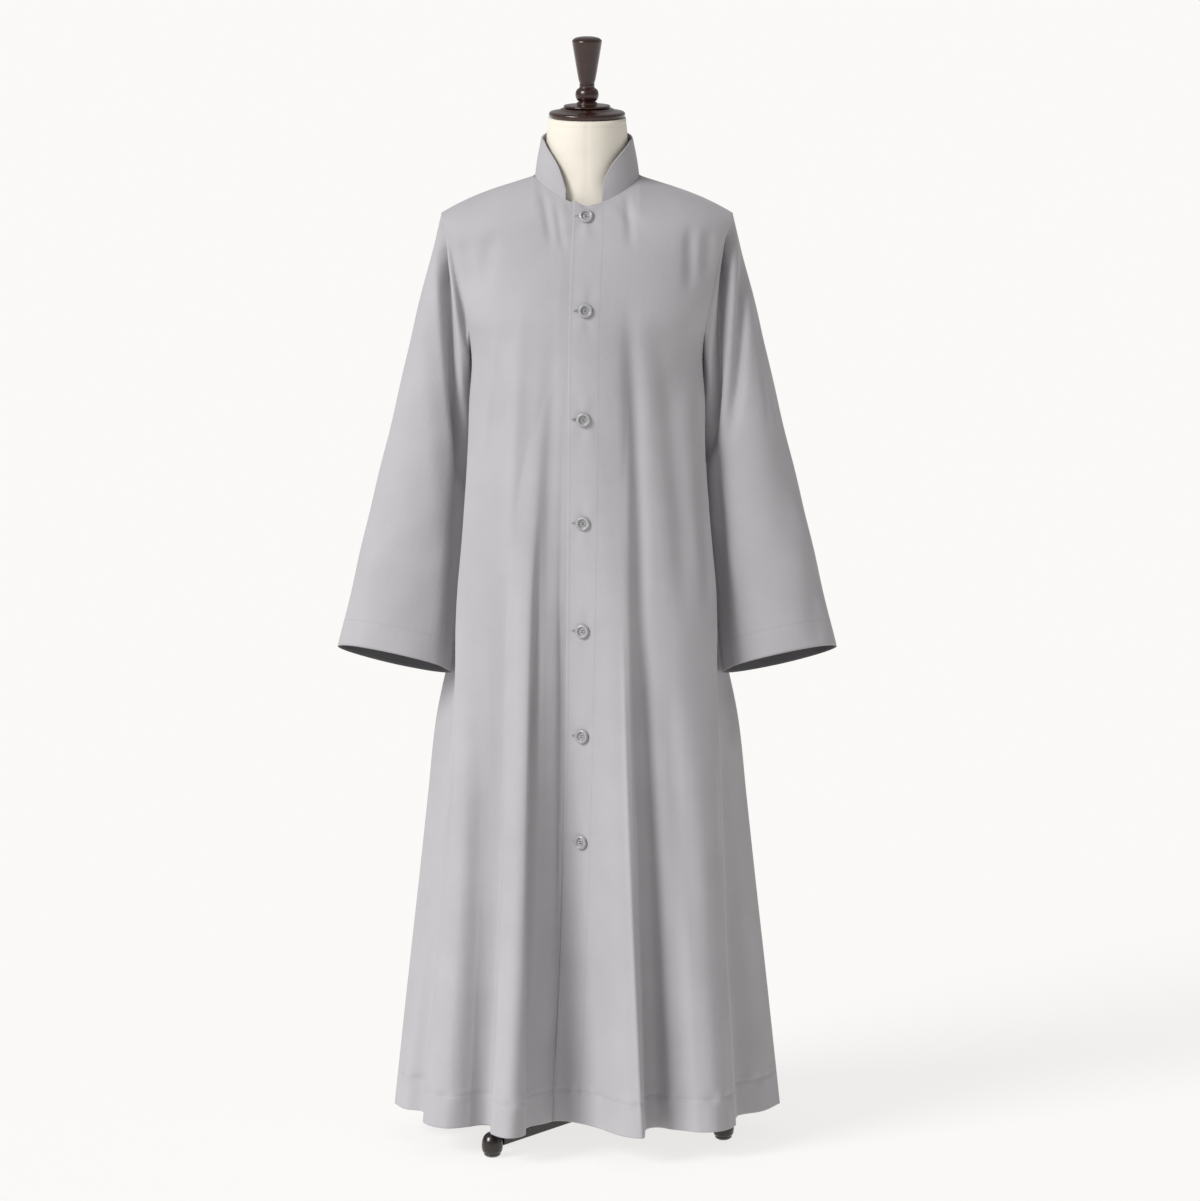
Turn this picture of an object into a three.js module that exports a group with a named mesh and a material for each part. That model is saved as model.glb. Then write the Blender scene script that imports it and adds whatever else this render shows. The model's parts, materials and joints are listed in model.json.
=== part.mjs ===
// A long buttoned cassock with a low stand collar, worn by a limbless dress form on a tripod stand.
// Millimetres, +Z up, the front faces -Y, origin on the floor under the middle of the form.
import * as THREE from 'three';

// Driving dimensions of the garment
const WALL = 2;              // cloth thickness with its turnings
const SEAM_GAP = 0.4;        // between two sewn pieces
const LAP_STEP = 2.6;        // how far the under front lies below the over front
const HEM_Z = 46;
const TIP = { x: 221, z: 1422 };       // shoulder seam's outer end
const NECK = { x: 80, z: 1479 };       // shoulder seam's inner end
const NOTCH_Z = 1443;                  // lowest point of the front neckline
const BACK_NECK_Z = 1490;
const SHOULDER_CROWN = 7.5;            // how far the shoulder seam bows up
const CROWN_SKEW = 1.3;                // above 1, the bow's top lies nearer the shoulder's end
const SHOULDER_RADIUS = 60;            // how softly the cloth turns over the shoulder
const FAN_Z = 1370;                    // level where the rows become horizontal
const FAN_ROWS = 4;
const UNDERARM_Z = 1205;
const REACH_TOP = 65;                  // degrees of ellipse that a panel spans at the shoulders
const REACH_RAD = THREE.MathUtils.degToRad(REACH_TOP);
// The column that meets the shoulder seam's inner end
const NECK_U = Math.asin((NECK.x / TIP.x) * Math.sin(REACH_RAD)) / REACH_RAD;
const CUFF = { outer: [380, 8, 757.5], inner: [204, 0, 719.5], depth: 50, tilt: 17 };
const COLLAR = { topX: 69, topFront: 64, topBack: 67, topZ: 1535, backRise: 10 };
const BUTTON = { radius: 11, thick: 4.2, lift: 0.4 };

// Depth of the body at the middle of the front and of the back.
const CENTRES = [
  { z: 1545, front: -70, back: 70 },
  { z: 1490, front: -75, back: 73 },
  { z: 1443, front: -80, back: 92 },
  { z: 1422, front: -90, back: 98 },
  { z: 1400, front: -99, back: 104 },
  { z: 1370, front: -108, back: 108 },
  { z: 1330, front: -116, back: 112 },
  { z: 1290, front: -125, back: 113 },
  { z: 1260, front: -129, back: 112 },
  { z: 1205, front: -130, back: 108 },
  { z: 1150, front: -129, back: 104 },
  { z: 1040, front: -127, back: 102 },
  { z: 920, front: -130, back: 112 },
  { z: 740, front: -136, back: 134 },
  { z: 520, front: -145, back: 148 },
  { z: 240, front: -157, back: 160 },
  { z: HEM_Z, front: -165, back: 165 },
];

// Armhole edge: half width, and its depth on the front and on the back.
const ARMHOLE = [
  { z: 1500, x: 221, front: -50, back: 46 },
  { z: 1422, x: 221, front: -50, back: 46 },
  { z: 1400, x: 213, front: -46, back: 43 },
  { z: 1370, x: 203, front: -45, back: 42 },
  { z: 1330, x: 194, front: -50, back: 46 },
  { z: 1290, x: 186, front: -54, back: 48 },
  { z: 1260, x: 180, front: -52, back: 46 },
  { z: 1232, x: 176, front: -36, back: 36 },
  { z: UNDERARM_Z, x: 172, front: 8, back: 8 },
];

// Side seam below the underarm.
const SIDE_SEAM = [
  { z: UNDERARM_Z, x: 172, y: 8 },
  { z: 1150, x: 165, y: 14 },
  { z: 1090, x: 164, y: 18 },
  { z: 1040, x: 166, y: 20 },
  { z: 984, x: 170, y: 26 },
  { z: 920, x: 176, y: 32 },
  { z: 860, x: 184, y: 38 },
  { z: 800, x: 195, y: 43 },
  { z: 740, x: 210, y: 47 },
  { z: 640, x: 231, y: 44 },
  { z: 520, x: 244, y: 38 },
  { z: 400, x: 257, y: 30 },
  { z: 240, x: 275, y: 16 },
  { z: HEM_Z, x: 296, y: 0 },
];

// The long fold in front of each sleeve: how far round the front panel it lies, its place, and
// how deep the cloth tucks in between it and the side seam.
const ARM_FOLD = [
  { z: 1245, reach: 1, x: 178, y: -45, tuck: 0 },
  { z: 1205, reach: 0.9, x: 175.5, y: -43, tuck: 1 },
  { z: 1150, reach: 0.78, x: 179, y: -49, tuck: 4 },
  { z: 1090, reach: 0.72, x: 180, y: -54, tuck: 8 },
  { z: 1040, reach: 0.7, x: 182, y: -57, tuck: 10 },
  { z: 984, reach: 0.7, x: 186, y: -60, tuck: 12 },
  { z: 920, reach: 0.7, x: 191, y: -64, tuck: 13 },
  { z: 860, reach: 0.7, x: 196, y: -68, tuck: 13 },
  { z: 800, reach: 0.7, x: 199, y: -72, tuck: 14 },
  { z: 740, reach: 0.7, x: 200, y: -77, tuck: 14 },
  { z: 640, reach: 0.7, x: 204, y: -86, tuck: 12 },
  { z: 520, reach: 0.7, x: 211, y: -97, tuck: 11 },
  { z: 400, reach: 0.7, x: 218, y: -107, tuck: 10 },
  { z: 240, reach: 0.7, x: 231, y: -120, tuck: 9 },
  { z: HEM_Z, reach: 0.7, x: 248, y: -135, tuck: 8 },
];
const LEVEL_ROWS = [
  1330, 1290, 1260, 1232, UNDERARM_Z, 1150, 1090, 1040, 984, 920, 860, 800, 740, 640, 520, 400,
  240, HEM_Z,
];

// The hem's flutes, from one side seam to the other: u is the column, x and y its place at the
// hem, start the height at which that fold begins to leave the body's plain oval.
const FRONT_HEM = [
  { u: -1, x: -296, y: 0, start: 780 },
  { u: -0.9, x: -280, y: -38, start: 780 },
  { u: -0.8, x: -249, y: -60, start: 840 },
  { u: -0.7, x: -246, y: -135, start: 900 },
  { u: -0.6, x: -217, y: -167, start: 860 },
  { u: -0.48, x: -179, y: -160, start: 820 },
  { u: -0.37, x: -146, y: -153, start: 960 },
  { u: -0.335, x: -147, y: -200, start: 1000 },
  { u: -NECK_U, x: -126, y: -230, start: 1080 },
  { u: -0.245, x: -103, y: -226, start: 1140 },
  { u: -0.205, x: -81, y: -187, start: 1200 },
  { u: -0.175, x: -73, y: -153, start: 1230 },
  { u: -0.13, x: -58, y: -120, start: 1240 },
  { u: -0.11, x: -53, y: -113, start: 1240 },
  { u: -0.05, x: -20, y: -127, start: 1200 },
  { u: 0.04, x: 18, y: -167, start: 1100 },
  { u: 0.11, x: 49, y: -213, start: 1040 },
  { u: 0.165, x: 79, y: -233, start: 1040 },
  { u: 0.195, x: 90, y: -220, start: 1100 },
  { u: 0.235, x: 94, y: -180, start: 1200 },
  { u: NECK_U, x: 112, y: -171, start: 1160 },
  { u: 0.37, x: 143, y: -181, start: 1100 },
  { u: 0.46, x: 170, y: -193, start: 1000 },
  { u: 0.58, x: 201, y: -187, start: 880 },
  { u: 0.7, x: 223, y: -153, start: 860 },
  { u: 0.8, x: 228, y: -87, start: 800 },
  { u: 0.9, x: 269, y: -53, start: 780 },
  { u: 1, x: 296, y: 0, start: 780 },
];
const BACK_HEM = [
  { u: -1, x: -296, y: 0, start: 780 },
  { u: -0.88, x: -270, y: 58, start: 800 },
  { u: -0.78, x: -233, y: 84, start: 860 },
  { u: -0.69, x: -224, y: 150, start: 880 },
  { u: -0.6, x: -196, y: 184, start: 860 },
  { u: -0.52, x: -160, y: 176, start: 880 },
  { u: -0.44, x: -138, y: 142, start: 940 },
  { u: -0.37, x: -118, y: 168, start: 980 },
  { u: -NECK_U, x: -92, y: 214, start: 1000 },
  { u: -0.22, x: -60, y: 233, start: 1020 },
  { u: -0.15, x: -30, y: 206, start: 1040 },
  { u: -0.08, x: -8, y: 168, start: 1060 },
  { u: 0, x: 20, y: 172, start: 1040 },
  { u: 0.09, x: 48, y: 212, start: 1020 },
  { u: 0.17, x: 80, y: 233, start: 1000 },
  { u: 0.24, x: 108, y: 210, start: 1000 },
  { u: NECK_U, x: 120, y: 166, start: 1040 },
  { u: 0.37, x: 146, y: 160, start: 980 },
  { u: 0.46, x: 176, y: 186, start: 920 },
  { u: 0.56, x: 206, y: 178, start: 880 },
  { u: 0.65, x: 224, y: 146, start: 860 },
  { u: 0.75, x: 232, y: 92, start: 820 },
  { u: 0.87, x: 266, y: 62, start: 800 },
  { u: 1, x: 296, y: 0, start: 780 },
];

// Where the two front edges run: the over front's edge and the hidden under front's edge.
const FRONT_EDGES = [
  { z: 1449, over: -20, under: 23 },
  { z: 1370, over: -24, under: 22 },
  { z: 1250, over: -28, under: 20 },
  { z: 968, over: -30, under: 20 },
  { z: 640, over: -33, under: 20 },
  { z: 480, over: -36, under: 20 },
  { z: 240, over: -43, under: 20 },
  { z: HEM_Z, over: -53, under: 20 },
];

// The sleeve's inner edge beside the body, and how much of the collar's full height stands.
const SLEEVE_INNER = [
  { z: 1205, x: 172 },
  { z: 1120, x: 172 },
  { z: 1046, x: 175 },
  { z: 955, x: 181 },
  { z: 870, x: 189 },
  { z: 800, x: 196 },
  { z: 719.5, x: 204 },
];
const COLLAR_CUT = [
  { azimuth: 15, right: 0.05, left: 0.12 },
  { azimuth: 20, right: 0.1, left: 0.38 },
  { azimuth: 25, right: 0.22, left: 0.5 },
  { azimuth: 30, right: 0.38, left: 0.59 },
  { azimuth: 36, right: 0.54, left: 0.67 },
  { azimuth: 46, right: 0.7, left: 0.77 },
  { azimuth: 60, right: 0.86, left: 0.89 },
  { azimuth: 75, right: 1, left: 1 },
  { azimuth: 180, right: 1, left: 1 },
];
const BUTTON_PLACES = [
  { x: -1.5, z: 1428 },
  { x: -2.3, z: 1290 },
  { x: -5.3, z: 1126 },
  { x: -6, z: 968 },
  { x: -6.9, z: 804 },
  { x: -7.6, z: 643.5 },
  { x: -9, z: 481 },
];

// The dress form's padded body: half width, front and back depth at each level.
const FORM_LEVELS = [
  { z: 741.6, side: 150, front: -96, back: 96 },
  { z: 748, side: 160, front: -104, back: 104 },
  { z: 790, side: 168, front: -108, back: 108 },
  { z: 860, side: 163, front: -106, back: 104 },
  { z: 950, side: 143, front: -100, back: 93 },
  { z: 1040, side: 132, front: -97, back: 86 },
  { z: 1120, side: 143, front: -101, back: 88 },
  { z: 1190, side: 158, front: -105, back: 92 },
  { z: 1260, side: 168, front: -107, back: 96 },
  { z: 1330, side: 176, front: -100, back: 97 },
  { z: 1385, side: 188, front: -91, back: 94 },
  { z: 1412, side: 186, front: -80, back: 86 },
  { z: 1430, side: 172, front: -69, back: 76 },
  { z: 1442, side: 148, front: -63, back: 68 },
  { z: 1451, side: 116, front: -61, back: 64 },
  { z: 1459, side: 88, front: -60.5, back: 62 },
  { z: 1472, side: 66, front: -60, back: 61 },
  { z: 1500, side: 61.5, front: -60, back: 61 },
  { z: 1540, side: 60.8, front: -60.8, back: 60.8 },
  { z: 1566.6, side: 58.5, front: -58.5, back: 58.5 },
];
const FORM_SIDES = 32;

// The turned wooden cap and finial, radius by height.
const CAP_PROFILE = [
  { r: 0, z: 1567 }, { r: 55.5, z: 1567 }, { r: 57.5, z: 1569.5 }, { r: 57.5, z: 1573.5 },
  { r: 55.5, z: 1575.8 }, { r: 50, z: 1576.8 }, { r: 42, z: 1578.6 }, { r: 36.5, z: 1582 },
  { r: 0, z: 1582 },
];
const FINIAL_PROFILE = [
  { r: 0, z: 1582.4 }, { r: 35, z: 1582.4 }, { r: 35.4, z: 1584.2 }, { r: 34, z: 1585.8 },
  { r: 16, z: 1586.6 }, { r: 15.8, z: 1589.6 }, { r: 12.2, z: 1591 }, { r: 16.2, z: 1594.4 },
  { r: 18, z: 1601.5 }, { r: 16.2, z: 1608.6 }, { r: 11, z: 1612.4 }, { r: 11.6, z: 1615.6 },
  { r: 11, z: 1618.6 }, { r: 13, z: 1624 }, { r: 22.4, z: 1680 }, { r: 22.6, z: 1683 },
  { r: 19, z: 1686.6 }, { r: 11, z: 1688.6 }, { r: 0, z: 1689 },
];
const TURNED_SIDES = 40;

// The tripod stand
const POLE = { radius: 12.5, foot: 62, top: 727.6 };
const BOARD = { side: 138, depth: 86, bottom: 728, top: 741.2 };
const HUB_PROFILE = [
  { r: 0, z: 22 }, { r: 17, z: 22 }, { r: 24, z: 26 }, { r: 26, z: 34 }, { r: 26, z: 50 },
  { r: 22, z: 56 }, { r: 19, z: 61.6 }, { r: 0, z: 61.6 },
];
const FOOT = { reach: 213.5, height: 39 };
const FOOT_PROFILE = [
  { r: 0, z: 0 }, { r: 8, z: 0 }, { r: 12.4, z: 3.4 }, { r: 13, z: 5 }, { r: 15.2, z: 9 },
  { r: 16.5, z: 17 }, { r: 15.6, z: 26 }, { r: 12.6, z: 33 }, { r: 7, z: 37.8 }, { r: 0, z: 39 },
];
const FOOT_ANGLES = [-132.4, -12.4, 107.6];
const LEG = { start: 26.8, end: 196.6, halfWidth: 9.5, rise: 15 };

const CLOTH = { color: 0xb9b6b9, roughness: 0.9, metalness: 0 };
const PEARL = { color: 0x989797, roughness: 0.35, metalness: 0 };
const JERSEY = { color: 0xf1ece3, roughness: 0.95, metalness: 0 };
const MAHOGANY = { color: 0x3b1708, roughness: 0.3, metalness: 0 };
const IRONWORK = { color: 0x1c1512, roughness: 0.4, metalness: 0 };

const group = new THREE.Group();
const rad = THREE.MathUtils.degToRad;

// Value of one column of a table at any key: a cubic through the rows, flat past its ends.
function along(rows, key, column, at) {
  const sign = Math.sign(rows[rows.length - 1][key] - rows[0][key]);
  const last = rows.length - 1;
  if ((at - rows[0][key]) * sign <= 0) return rows[0][column];
  if ((at - rows[last][key]) * sign >= 0) return rows[last][column];
  let i = 0;
  while ((at - rows[i + 1][key]) * sign > 0) i++;
  const slope = (k) => {
    const a = rows[Math.max(k - 1, 0)];
    const b = rows[Math.min(k + 1, last)];
    return (b[column] - a[column]) / (b[key] - a[key]);
  };
  const width = rows[i + 1][key] - rows[i][key];
  const t = (at - rows[i][key]) / width;
  const rest = 1 - t;
  return rows[i][column] * rest * rest * (1 + 2 * t) + rows[i + 1][column] * t * t * (3 - 2 * t)
    + width * t * rest * (slope(i) * rest - slope(i + 1) * t);
}

// Height of the shoulder ridge above x; past the neck it runs on as the collar's seat.
function ridgeHeight(x, isBack) {
  const across = Math.abs(x);
  if (across < NECK.x) return NECK.z + (NECK.x - across) * (isBack ? 0.85 : 0.12);
  const share = (across - NECK.x) / (TIP.x - NECK.x);
  const crown = SHOULDER_CROWN * Math.sin(Math.PI * Math.min(share, 1) ** CROWN_SKEW);
  return NECK.z + (TIP.z - NECK.z) * share + crown;
}

// Top edge of a body panel: neckline inside the neck column, shoulder seam outside it.
function topHeight(x, isBack) {
  const across = Math.abs(x);
  if (across >= NECK.x) return ridgeHeight(x, isBack);
  const part = across / NECK.x;
  if (isBack) return NECK.z + (BACK_NECK_Z - NECK.z) * (1 - part * part);
  return NOTCH_Z + (NECK.z - NOTCH_Z) * part ** 1.6;
}

// A body panel's plain section: a partial ellipse from the centre to the panel's edge, or on the
// front below the underarm to the arm fold, and from there in a shallow tuck to the side seam.
function panelSection(isBack, u, z) {
  const depth = along(CENTRES, 'z', isBack ? 'back' : 'front', z);
  const above = z >= UNDERARM_Z;
  let edgeX = along(above ? ARMHOLE : SIDE_SEAM, 'z', 'x', z);
  let edgeY = along(above ? ARMHOLE : SIDE_SEAM, 'z', above ? (isBack ? 'back' : 'front') : 'y', z);
  let reach = 1;
  if (!isBack && z < ARM_FOLD[0].z) {
    reach = along(ARM_FOLD, 'z', 'reach', z);
    const foldX = along(ARM_FOLD, 'z', 'x', z);
    const foldY = along(ARM_FOLD, 'z', 'y', z);
    const past = (Math.abs(u) - reach) / (1 - reach);
    if (past > 0) {
      const tuck = 4 * past * (1 - past) * along(ARM_FOLD, 'z', 'tuck', z);
      return [Math.sign(u) * (foldX + (edgeX - foldX) * past - tuck), foldY + (edgeY - foldY) * past];
    }
    [edgeX, edgeY] = [foldX, foldY];
  }
  const openBack = isBack && z < FAN_Z ? Math.min((FAN_Z - z) / (FAN_Z - UNDERARM_Z), 1) : 0;
  const end = rad(REACH_TOP + (90 - REACH_TOP) * openBack);
  const turn = (u / reach) * end;
  const share = (Math.cos(turn) - Math.cos(end)) / (1 - Math.cos(end));
  return [edgeX * Math.sin(turn) / Math.sin(end), edgeY + (depth - edgeY) * share];
}

// A point of the body: the plain section, leaning towards the fluted hem by the share of the
// drop below the fold's start, and turned over the shoulder.
function bodyPoint(isBack, u, z) {
  const hem = isBack ? BACK_HEM : FRONT_HEM;
  let [x, y] = panelSection(isBack, u, z);
  const start = along(hem, 'u', 'start', u);
  if (z < start) {
    const [hemX, hemY] = panelSection(isBack, u, HEM_Z);
    const lean = ((start - z) / (start - HEM_Z)) ** 1.2;
    x += lean * (along(hem, 'u', 'x', u) - hemX);
    y += lean * (along(hem, 'u', 'y', u) - hemY);
  }
  const drop = Math.min(Math.max(ridgeHeight(x, isBack) - z, 0) / SHOULDER_RADIUS, 1);
  return new THREE.Vector3(x, y * Math.sqrt(1 - (1 - drop) ** 2), z);
}

// Rows of one column, top to hem: the first few fan out from the top edge to a level line.
function columnPoints(isBack, columnAt) {
  const points = [];
  const topU = columnAt(TIP.z + 20);
  const topX = TIP.x * Math.sin(topU * rad(REACH_TOP)) / Math.sin(rad(REACH_TOP));
  const topZ = topHeight(topX, isBack);
  for (let row = 0; row <= FAN_ROWS; row++) {
    const share = 1 - Math.cos(rad(90) * row / FAN_ROWS);
    const z = topZ + (FAN_Z - topZ) * share;
    points.push(bodyPoint(isBack, columnAt(z), z));
  }
  for (const z of LEVEL_ROWS) points.push(bodyPoint(isBack, columnAt(z), z));
  return points;
}

// The column whose point at this height has the given x, found by halving.
function columnAtX(wanted, z) {
  let low = -0.4;
  let high = 0.4;
  for (let step = 0; step < 40; step++) {
    const middle = (low + high) / 2;
    if (bodyPoint(false, middle, z).x < wanted) low = middle;
    else high = middle;
  }
  return (low + high) / 2;
}

// ---- Cloth: each piece is a grid of outer points, then a wall of WALL thickness inwards ----

// A sheet's grid[row][column]; closed means that the last column meets the first.
function makeSheet(name, grid, closed = false) {
  const rows = grid.length;
  const columns = grid[0].length;
  const normals = grid.map((row) => row.map(() => new THREE.Vector3()));
  const spans = closed ? columns : columns - 1;
  for (let r = 0; r < rows - 1; r++) {
    for (let c = 0; c < spans; c++) {
      const right = (c + 1) % columns;
      const across = grid[r + 1][right].clone().sub(grid[r][c]);
      const face = grid[r + 1][c].clone().sub(grid[r][right]).cross(across);
      for (const [i, j] of [[r, c], [r, right], [r + 1, c], [r + 1, right]]) normals[i][j].add(face);
    }
  }
  for (const row of normals) for (const normal of row) normal.normalize();
  return { name, grid, normals, closed };
}

// Where pieces meet, their walls share one mitre: the mean of the normals that lie together.
function mitreSeams(sheets) {
  const meeting = new Map();
  const keyOf = (point) => point.toArray().map((value) => Math.round(value * 20)).join();
  const each = (visit) => sheets.forEach((sheet) => sheet.grid.forEach((row, r) => row.forEach(
    (point, c) => visit(keyOf(point), sheet.normals[r][c]))));
  each((key, normal) => {
    if (!meeting.has(key)) meeting.set(key, []);
    meeting.get(key).push(normal.clone());
  });
  each((key, normal) => {
    const own = normal.clone();
    for (const other of meeting.get(key)) {
      if (other.dot(own) > 0 && other.dot(own) < 0.99999) normal.add(other);
    }
    normal.normalize();
  });
}

// Draws an edge of a sheet back from its seam by half the gap.
function drawBack(sheet, side) {
  const { grid } = sheet;
  const last = { row: grid.length - 1, column: grid[0].length - 1 };
  const pull = (point, next) => point.add(next.clone().sub(point).setLength(SEAM_GAP / 2));
  if (side === 'top') grid[0].forEach((point, c) => pull(point, grid[1][c]));
  if (side === 'left') grid.forEach((row) => pull(row[0], row[1]));
  if (side === 'right') grid.forEach((row) => pull(row[last.column], row[last.column - 1]));
}

// One closed body between the sheet's grid and the same grid moved inwards by the wall.
function wallMesh(sheet) {
  const { name, grid, normals, closed } = sheet;
  const rows = grid.length;
  const columns = grid[0].length;
  const points = [];
  for (const inward of [0, WALL]) {
    for (let r = 0; r < rows; r++) {
      for (let c = 0; c < columns; c++) {
        points.push(...grid[r][c].clone().addScaledVector(normals[r][c], -inward).toArray());
      }
    }
  }
  const index = [];
  const outer = (r, c) => r * columns + c % columns;
  const inner = (r, c) => rows * columns + outer(r, c);
  const quad = (a, b, c, d) => index.push(a, b, c, a, c, d);
  const spans = closed ? columns : columns - 1;
  for (let r = 0; r < rows - 1; r++) {
    for (let c = 0; c < spans; c++) {
      quad(outer(r, c), outer(r + 1, c), outer(r + 1, c + 1), outer(r, c + 1));
      quad(inner(r, c), inner(r, c + 1), inner(r + 1, c + 1), inner(r + 1, c));
    }
    if (closed) continue;
    quad(outer(r, 0), inner(r, 0), inner(r + 1, 0), outer(r + 1, 0));
    quad(outer(r, spans), outer(r + 1, spans), inner(r + 1, spans), inner(r, spans));
  }
  for (let c = 0; c < spans; c++) {
    quad(outer(0, c), outer(0, c + 1), inner(0, c + 1), inner(0, c));
    quad(outer(rows - 1, c), inner(rows - 1, c), inner(rows - 1, c + 1), outer(rows - 1, c + 1));
  }
  return addMesh(name, points, index, CLOTH);
}

function addMesh(name, points, index, look) {
  const geometry = new THREE.BufferGeometry();
  geometry.setAttribute('position', new THREE.Float32BufferAttribute(points, 3));
  geometry.setIndex(index);
  geometry.computeVertexNormals();
  const mesh = new THREE.Mesh(geometry, new THREE.MeshStandardMaterial(look));
  mesh.name = name;
  group.add(mesh);
  return mesh;
}

const fromColumns = (columns) => columns[0].map((_, row) => columns.map((column) => column[row]));

// Fronts: fixed columns between the hem's folds, and four shared columns where they overlap.
const LAP_COLUMNS = 4;
const EXTRA_FRONT = [-0.95, -0.85, -0.75, -0.65, -0.54, -0.425, 0.52, 0.64, 0.75, 0.85, 0.95];
const frontColumns = [...FRONT_HEM.map((row) => row.u), ...EXTRA_FRONT].sort((a, b) => a - b);
const lapAt = (share) => (z) => {
  const over = columnAtX(along(FRONT_EDGES, 'z', 'over', z), z);
  const under = columnAtX(along(FRONT_EDGES, 'z', 'under', z), z);
  return over + (under - over) * share;
};
const lapColumns = Array.from({ length: LAP_COLUMNS + 1 },
  (_, i) => columnPoints(false, lapAt(i / LAP_COLUMNS)));
const fixedFront = (keep) => frontColumns.filter(keep).map((u) => columnPoints(false, () => u));
const underColumns = fixedFront((u) => u <= -0.13);
const overColumns = fixedFront((u) => u >= 0.1);
const copyOf = (columns) => columns.map((column) => column.map((point) => point.clone()));
const frontRight = makeSheet('front_right', fromColumns([...underColumns, ...copyOf(lapColumns)]));
const frontLeft = makeSheet('front_left', fromColumns([...copyOf(lapColumns), ...overColumns]));

// Back: the shoulders share the fronts' columns, so that the seam's points lie together, and the
// columns run the other way round, so that the outer face stays outside.
const backColumns = [
  ...frontColumns.filter((u) => Math.abs(u) > NECK_U - 1e-6),
  ...BACK_HEM.map((row) => row.u).filter((u) => Math.abs(u) < NECK_U - 1e-6),
].sort((a, b) => b - a);
const back = makeSheet('back', fromColumns(backColumns.map((u) => columnPoints(true, () => u))));

// Sleeve: the first ring is the armhole itself; later rings ease into an ellipse that runs from
// the straight outer edge to the inner edge, tilted up at the front.
const SLEEVE_STEPS = [0, 0.05, 0.12, 0.2, 0.3, 0.4, 0.5, 0.6, 0.7, 0.8, 0.9, 0.96, 1];
const ARMHOLE_EASE = 0.3;
const DRAG_FOLD = { depth: 9, width: 0.5, from: 1.2, to: 2.9, until: 0.42 };
const underarmRow = FAN_ROWS + LEVEL_ROWS.indexOf(UNDERARM_Z) + 1;

function sleeveEllipse(hand, step, turn) {
  const [outerX, outerY, outerZ] = CUFF.outer;
  const outer = new THREE.Vector3(hand * TIP.x, 0, TIP.z)
    .lerp(new THREE.Vector3(hand * outerX, outerY, outerZ), step);
  const innerZ = UNDERARM_Z + (CUFF.inner[2] - UNDERARM_Z) * step;
  const innerX = hand * along(SLEEVE_INNER, 'z', 'x', innerZ);
  const innerY = SIDE_SEAM[0].y + (CUFF.inner[1] - SIDE_SEAM[0].y) * step;
  const inner = new THREE.Vector3(innerX, innerY, innerZ);
  const centre = outer.clone().add(inner).multiplyScalar(0.5);
  const depth = new THREE.Vector3(0, -CUFF.depth, CUFF.tilt * step);
  return centre.clone().addScaledVector(outer.sub(centre), Math.cos(turn))
    .addScaledVector(depth, Math.sin(turn));
}

function sleeveGrid(hand, armhole) {
  const lengths = [0];
  armhole.forEach((point, i) => lengths.push(
    lengths[i] + point.distanceTo(armhole[(i + 1) % armhole.length])));
  const whole = lengths[armhole.length];
  return SLEEVE_STEPS.map((step) => armhole.map((point, i) => {
    const turn = 2 * Math.PI * lengths[i] / whole;
    const ease = Math.max(1 - step / ARMHOLE_EASE, 0) ** 2;
    const away = point.clone().sub(sleeveEllipse(hand, 0, turn));
    const place = sleeveEllipse(hand, step, turn).addScaledVector(away, ease);
    const aim = DRAG_FOLD.from + (DRAG_FOLD.to - DRAG_FOLD.from) * step / DRAG_FOLD.until;
    const fromFold = (Math.min(turn, 2 * Math.PI - turn) - aim) / DRAG_FOLD.width;
    const fade = Math.sin(Math.PI * Math.min(step / DRAG_FOLD.until, 1));
    const dent = DRAG_FOLD.depth * fade * Math.exp(-fromFold * fromFold);
    return place.add(new THREE.Vector3(0, dent * Math.sign(Math.sin(turn)), 0));
  }));
}

const edgeOf = (sheet, column) => sheet.grid.slice(0, underarmRow + 1).map((row) => row.at(column));
const loopOf = (first, second) => [...first, ...second.slice(1, -1).reverse()]
  .map((point) => point.clone());
const rightArmhole = loopOf(edgeOf(frontRight, 0), edgeOf(back, -1));
const leftArmhole = loopOf(edgeOf(frontLeft, -1), edgeOf(back, 0));
const turnedRound = (grid) => grid.map((row) => [...row].reverse());
const sleeveRight = makeSheet('sleeve_right', sleeveGrid(-1, rightArmhole), true);
const sleeveLeft = makeSheet('sleeve_left', turnedRound(sleeveGrid(1, leftArmhole)), true);

// Collar: a band from the neckline up to an oval, cut down in a curve towards its front ends.
const COLLAR_ROWS = 4;
const rightNeck = frontRight.grid[0].filter((point) => point.x > -NECK.x - 1 && point.x < -30);
const leftNeck = frontLeft.grid[0].filter((point) => point.x < NECK.x + 1 && point.x > 21);
const backNeck = back.grid[0].filter((point) => Math.abs(point.x) < NECK.x - 1);
const neckLoop = [...rightNeck.reverse(), ...backNeck.reverse(), ...leftNeck.reverse()]
  .map((point) => point.clone());
function collarPoint(base, share) {
  const turn = Math.atan2(Math.abs(base.x), -base.y);
  const hand = base.x < 0 ? 'right' : 'left';
  const height = along(COLLAR_CUT, 'azimuth', hand, THREE.MathUtils.radToDeg(turn));
  const behind = Math.max(-Math.cos(turn), 0);
  const depth = base.y < 0 ? COLLAR.topFront : COLLAR.topBack;
  const top = new THREE.Vector3(Math.sign(base.x) * COLLAR.topX * Math.sin(turn),
    -depth * Math.cos(turn), COLLAR.topZ + COLLAR.backRise * behind);
  return base.clone().lerp(top, share * height);
}
const collarRows = Array.from({ length: COLLAR_ROWS + 1 }, (_, i) => 1 - i / COLLAR_ROWS);
const collar = makeSheet('collar', collarRows.map(
  (share) => neckLoop.map((base) => collarPoint(base, share)).reverse()));

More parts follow.
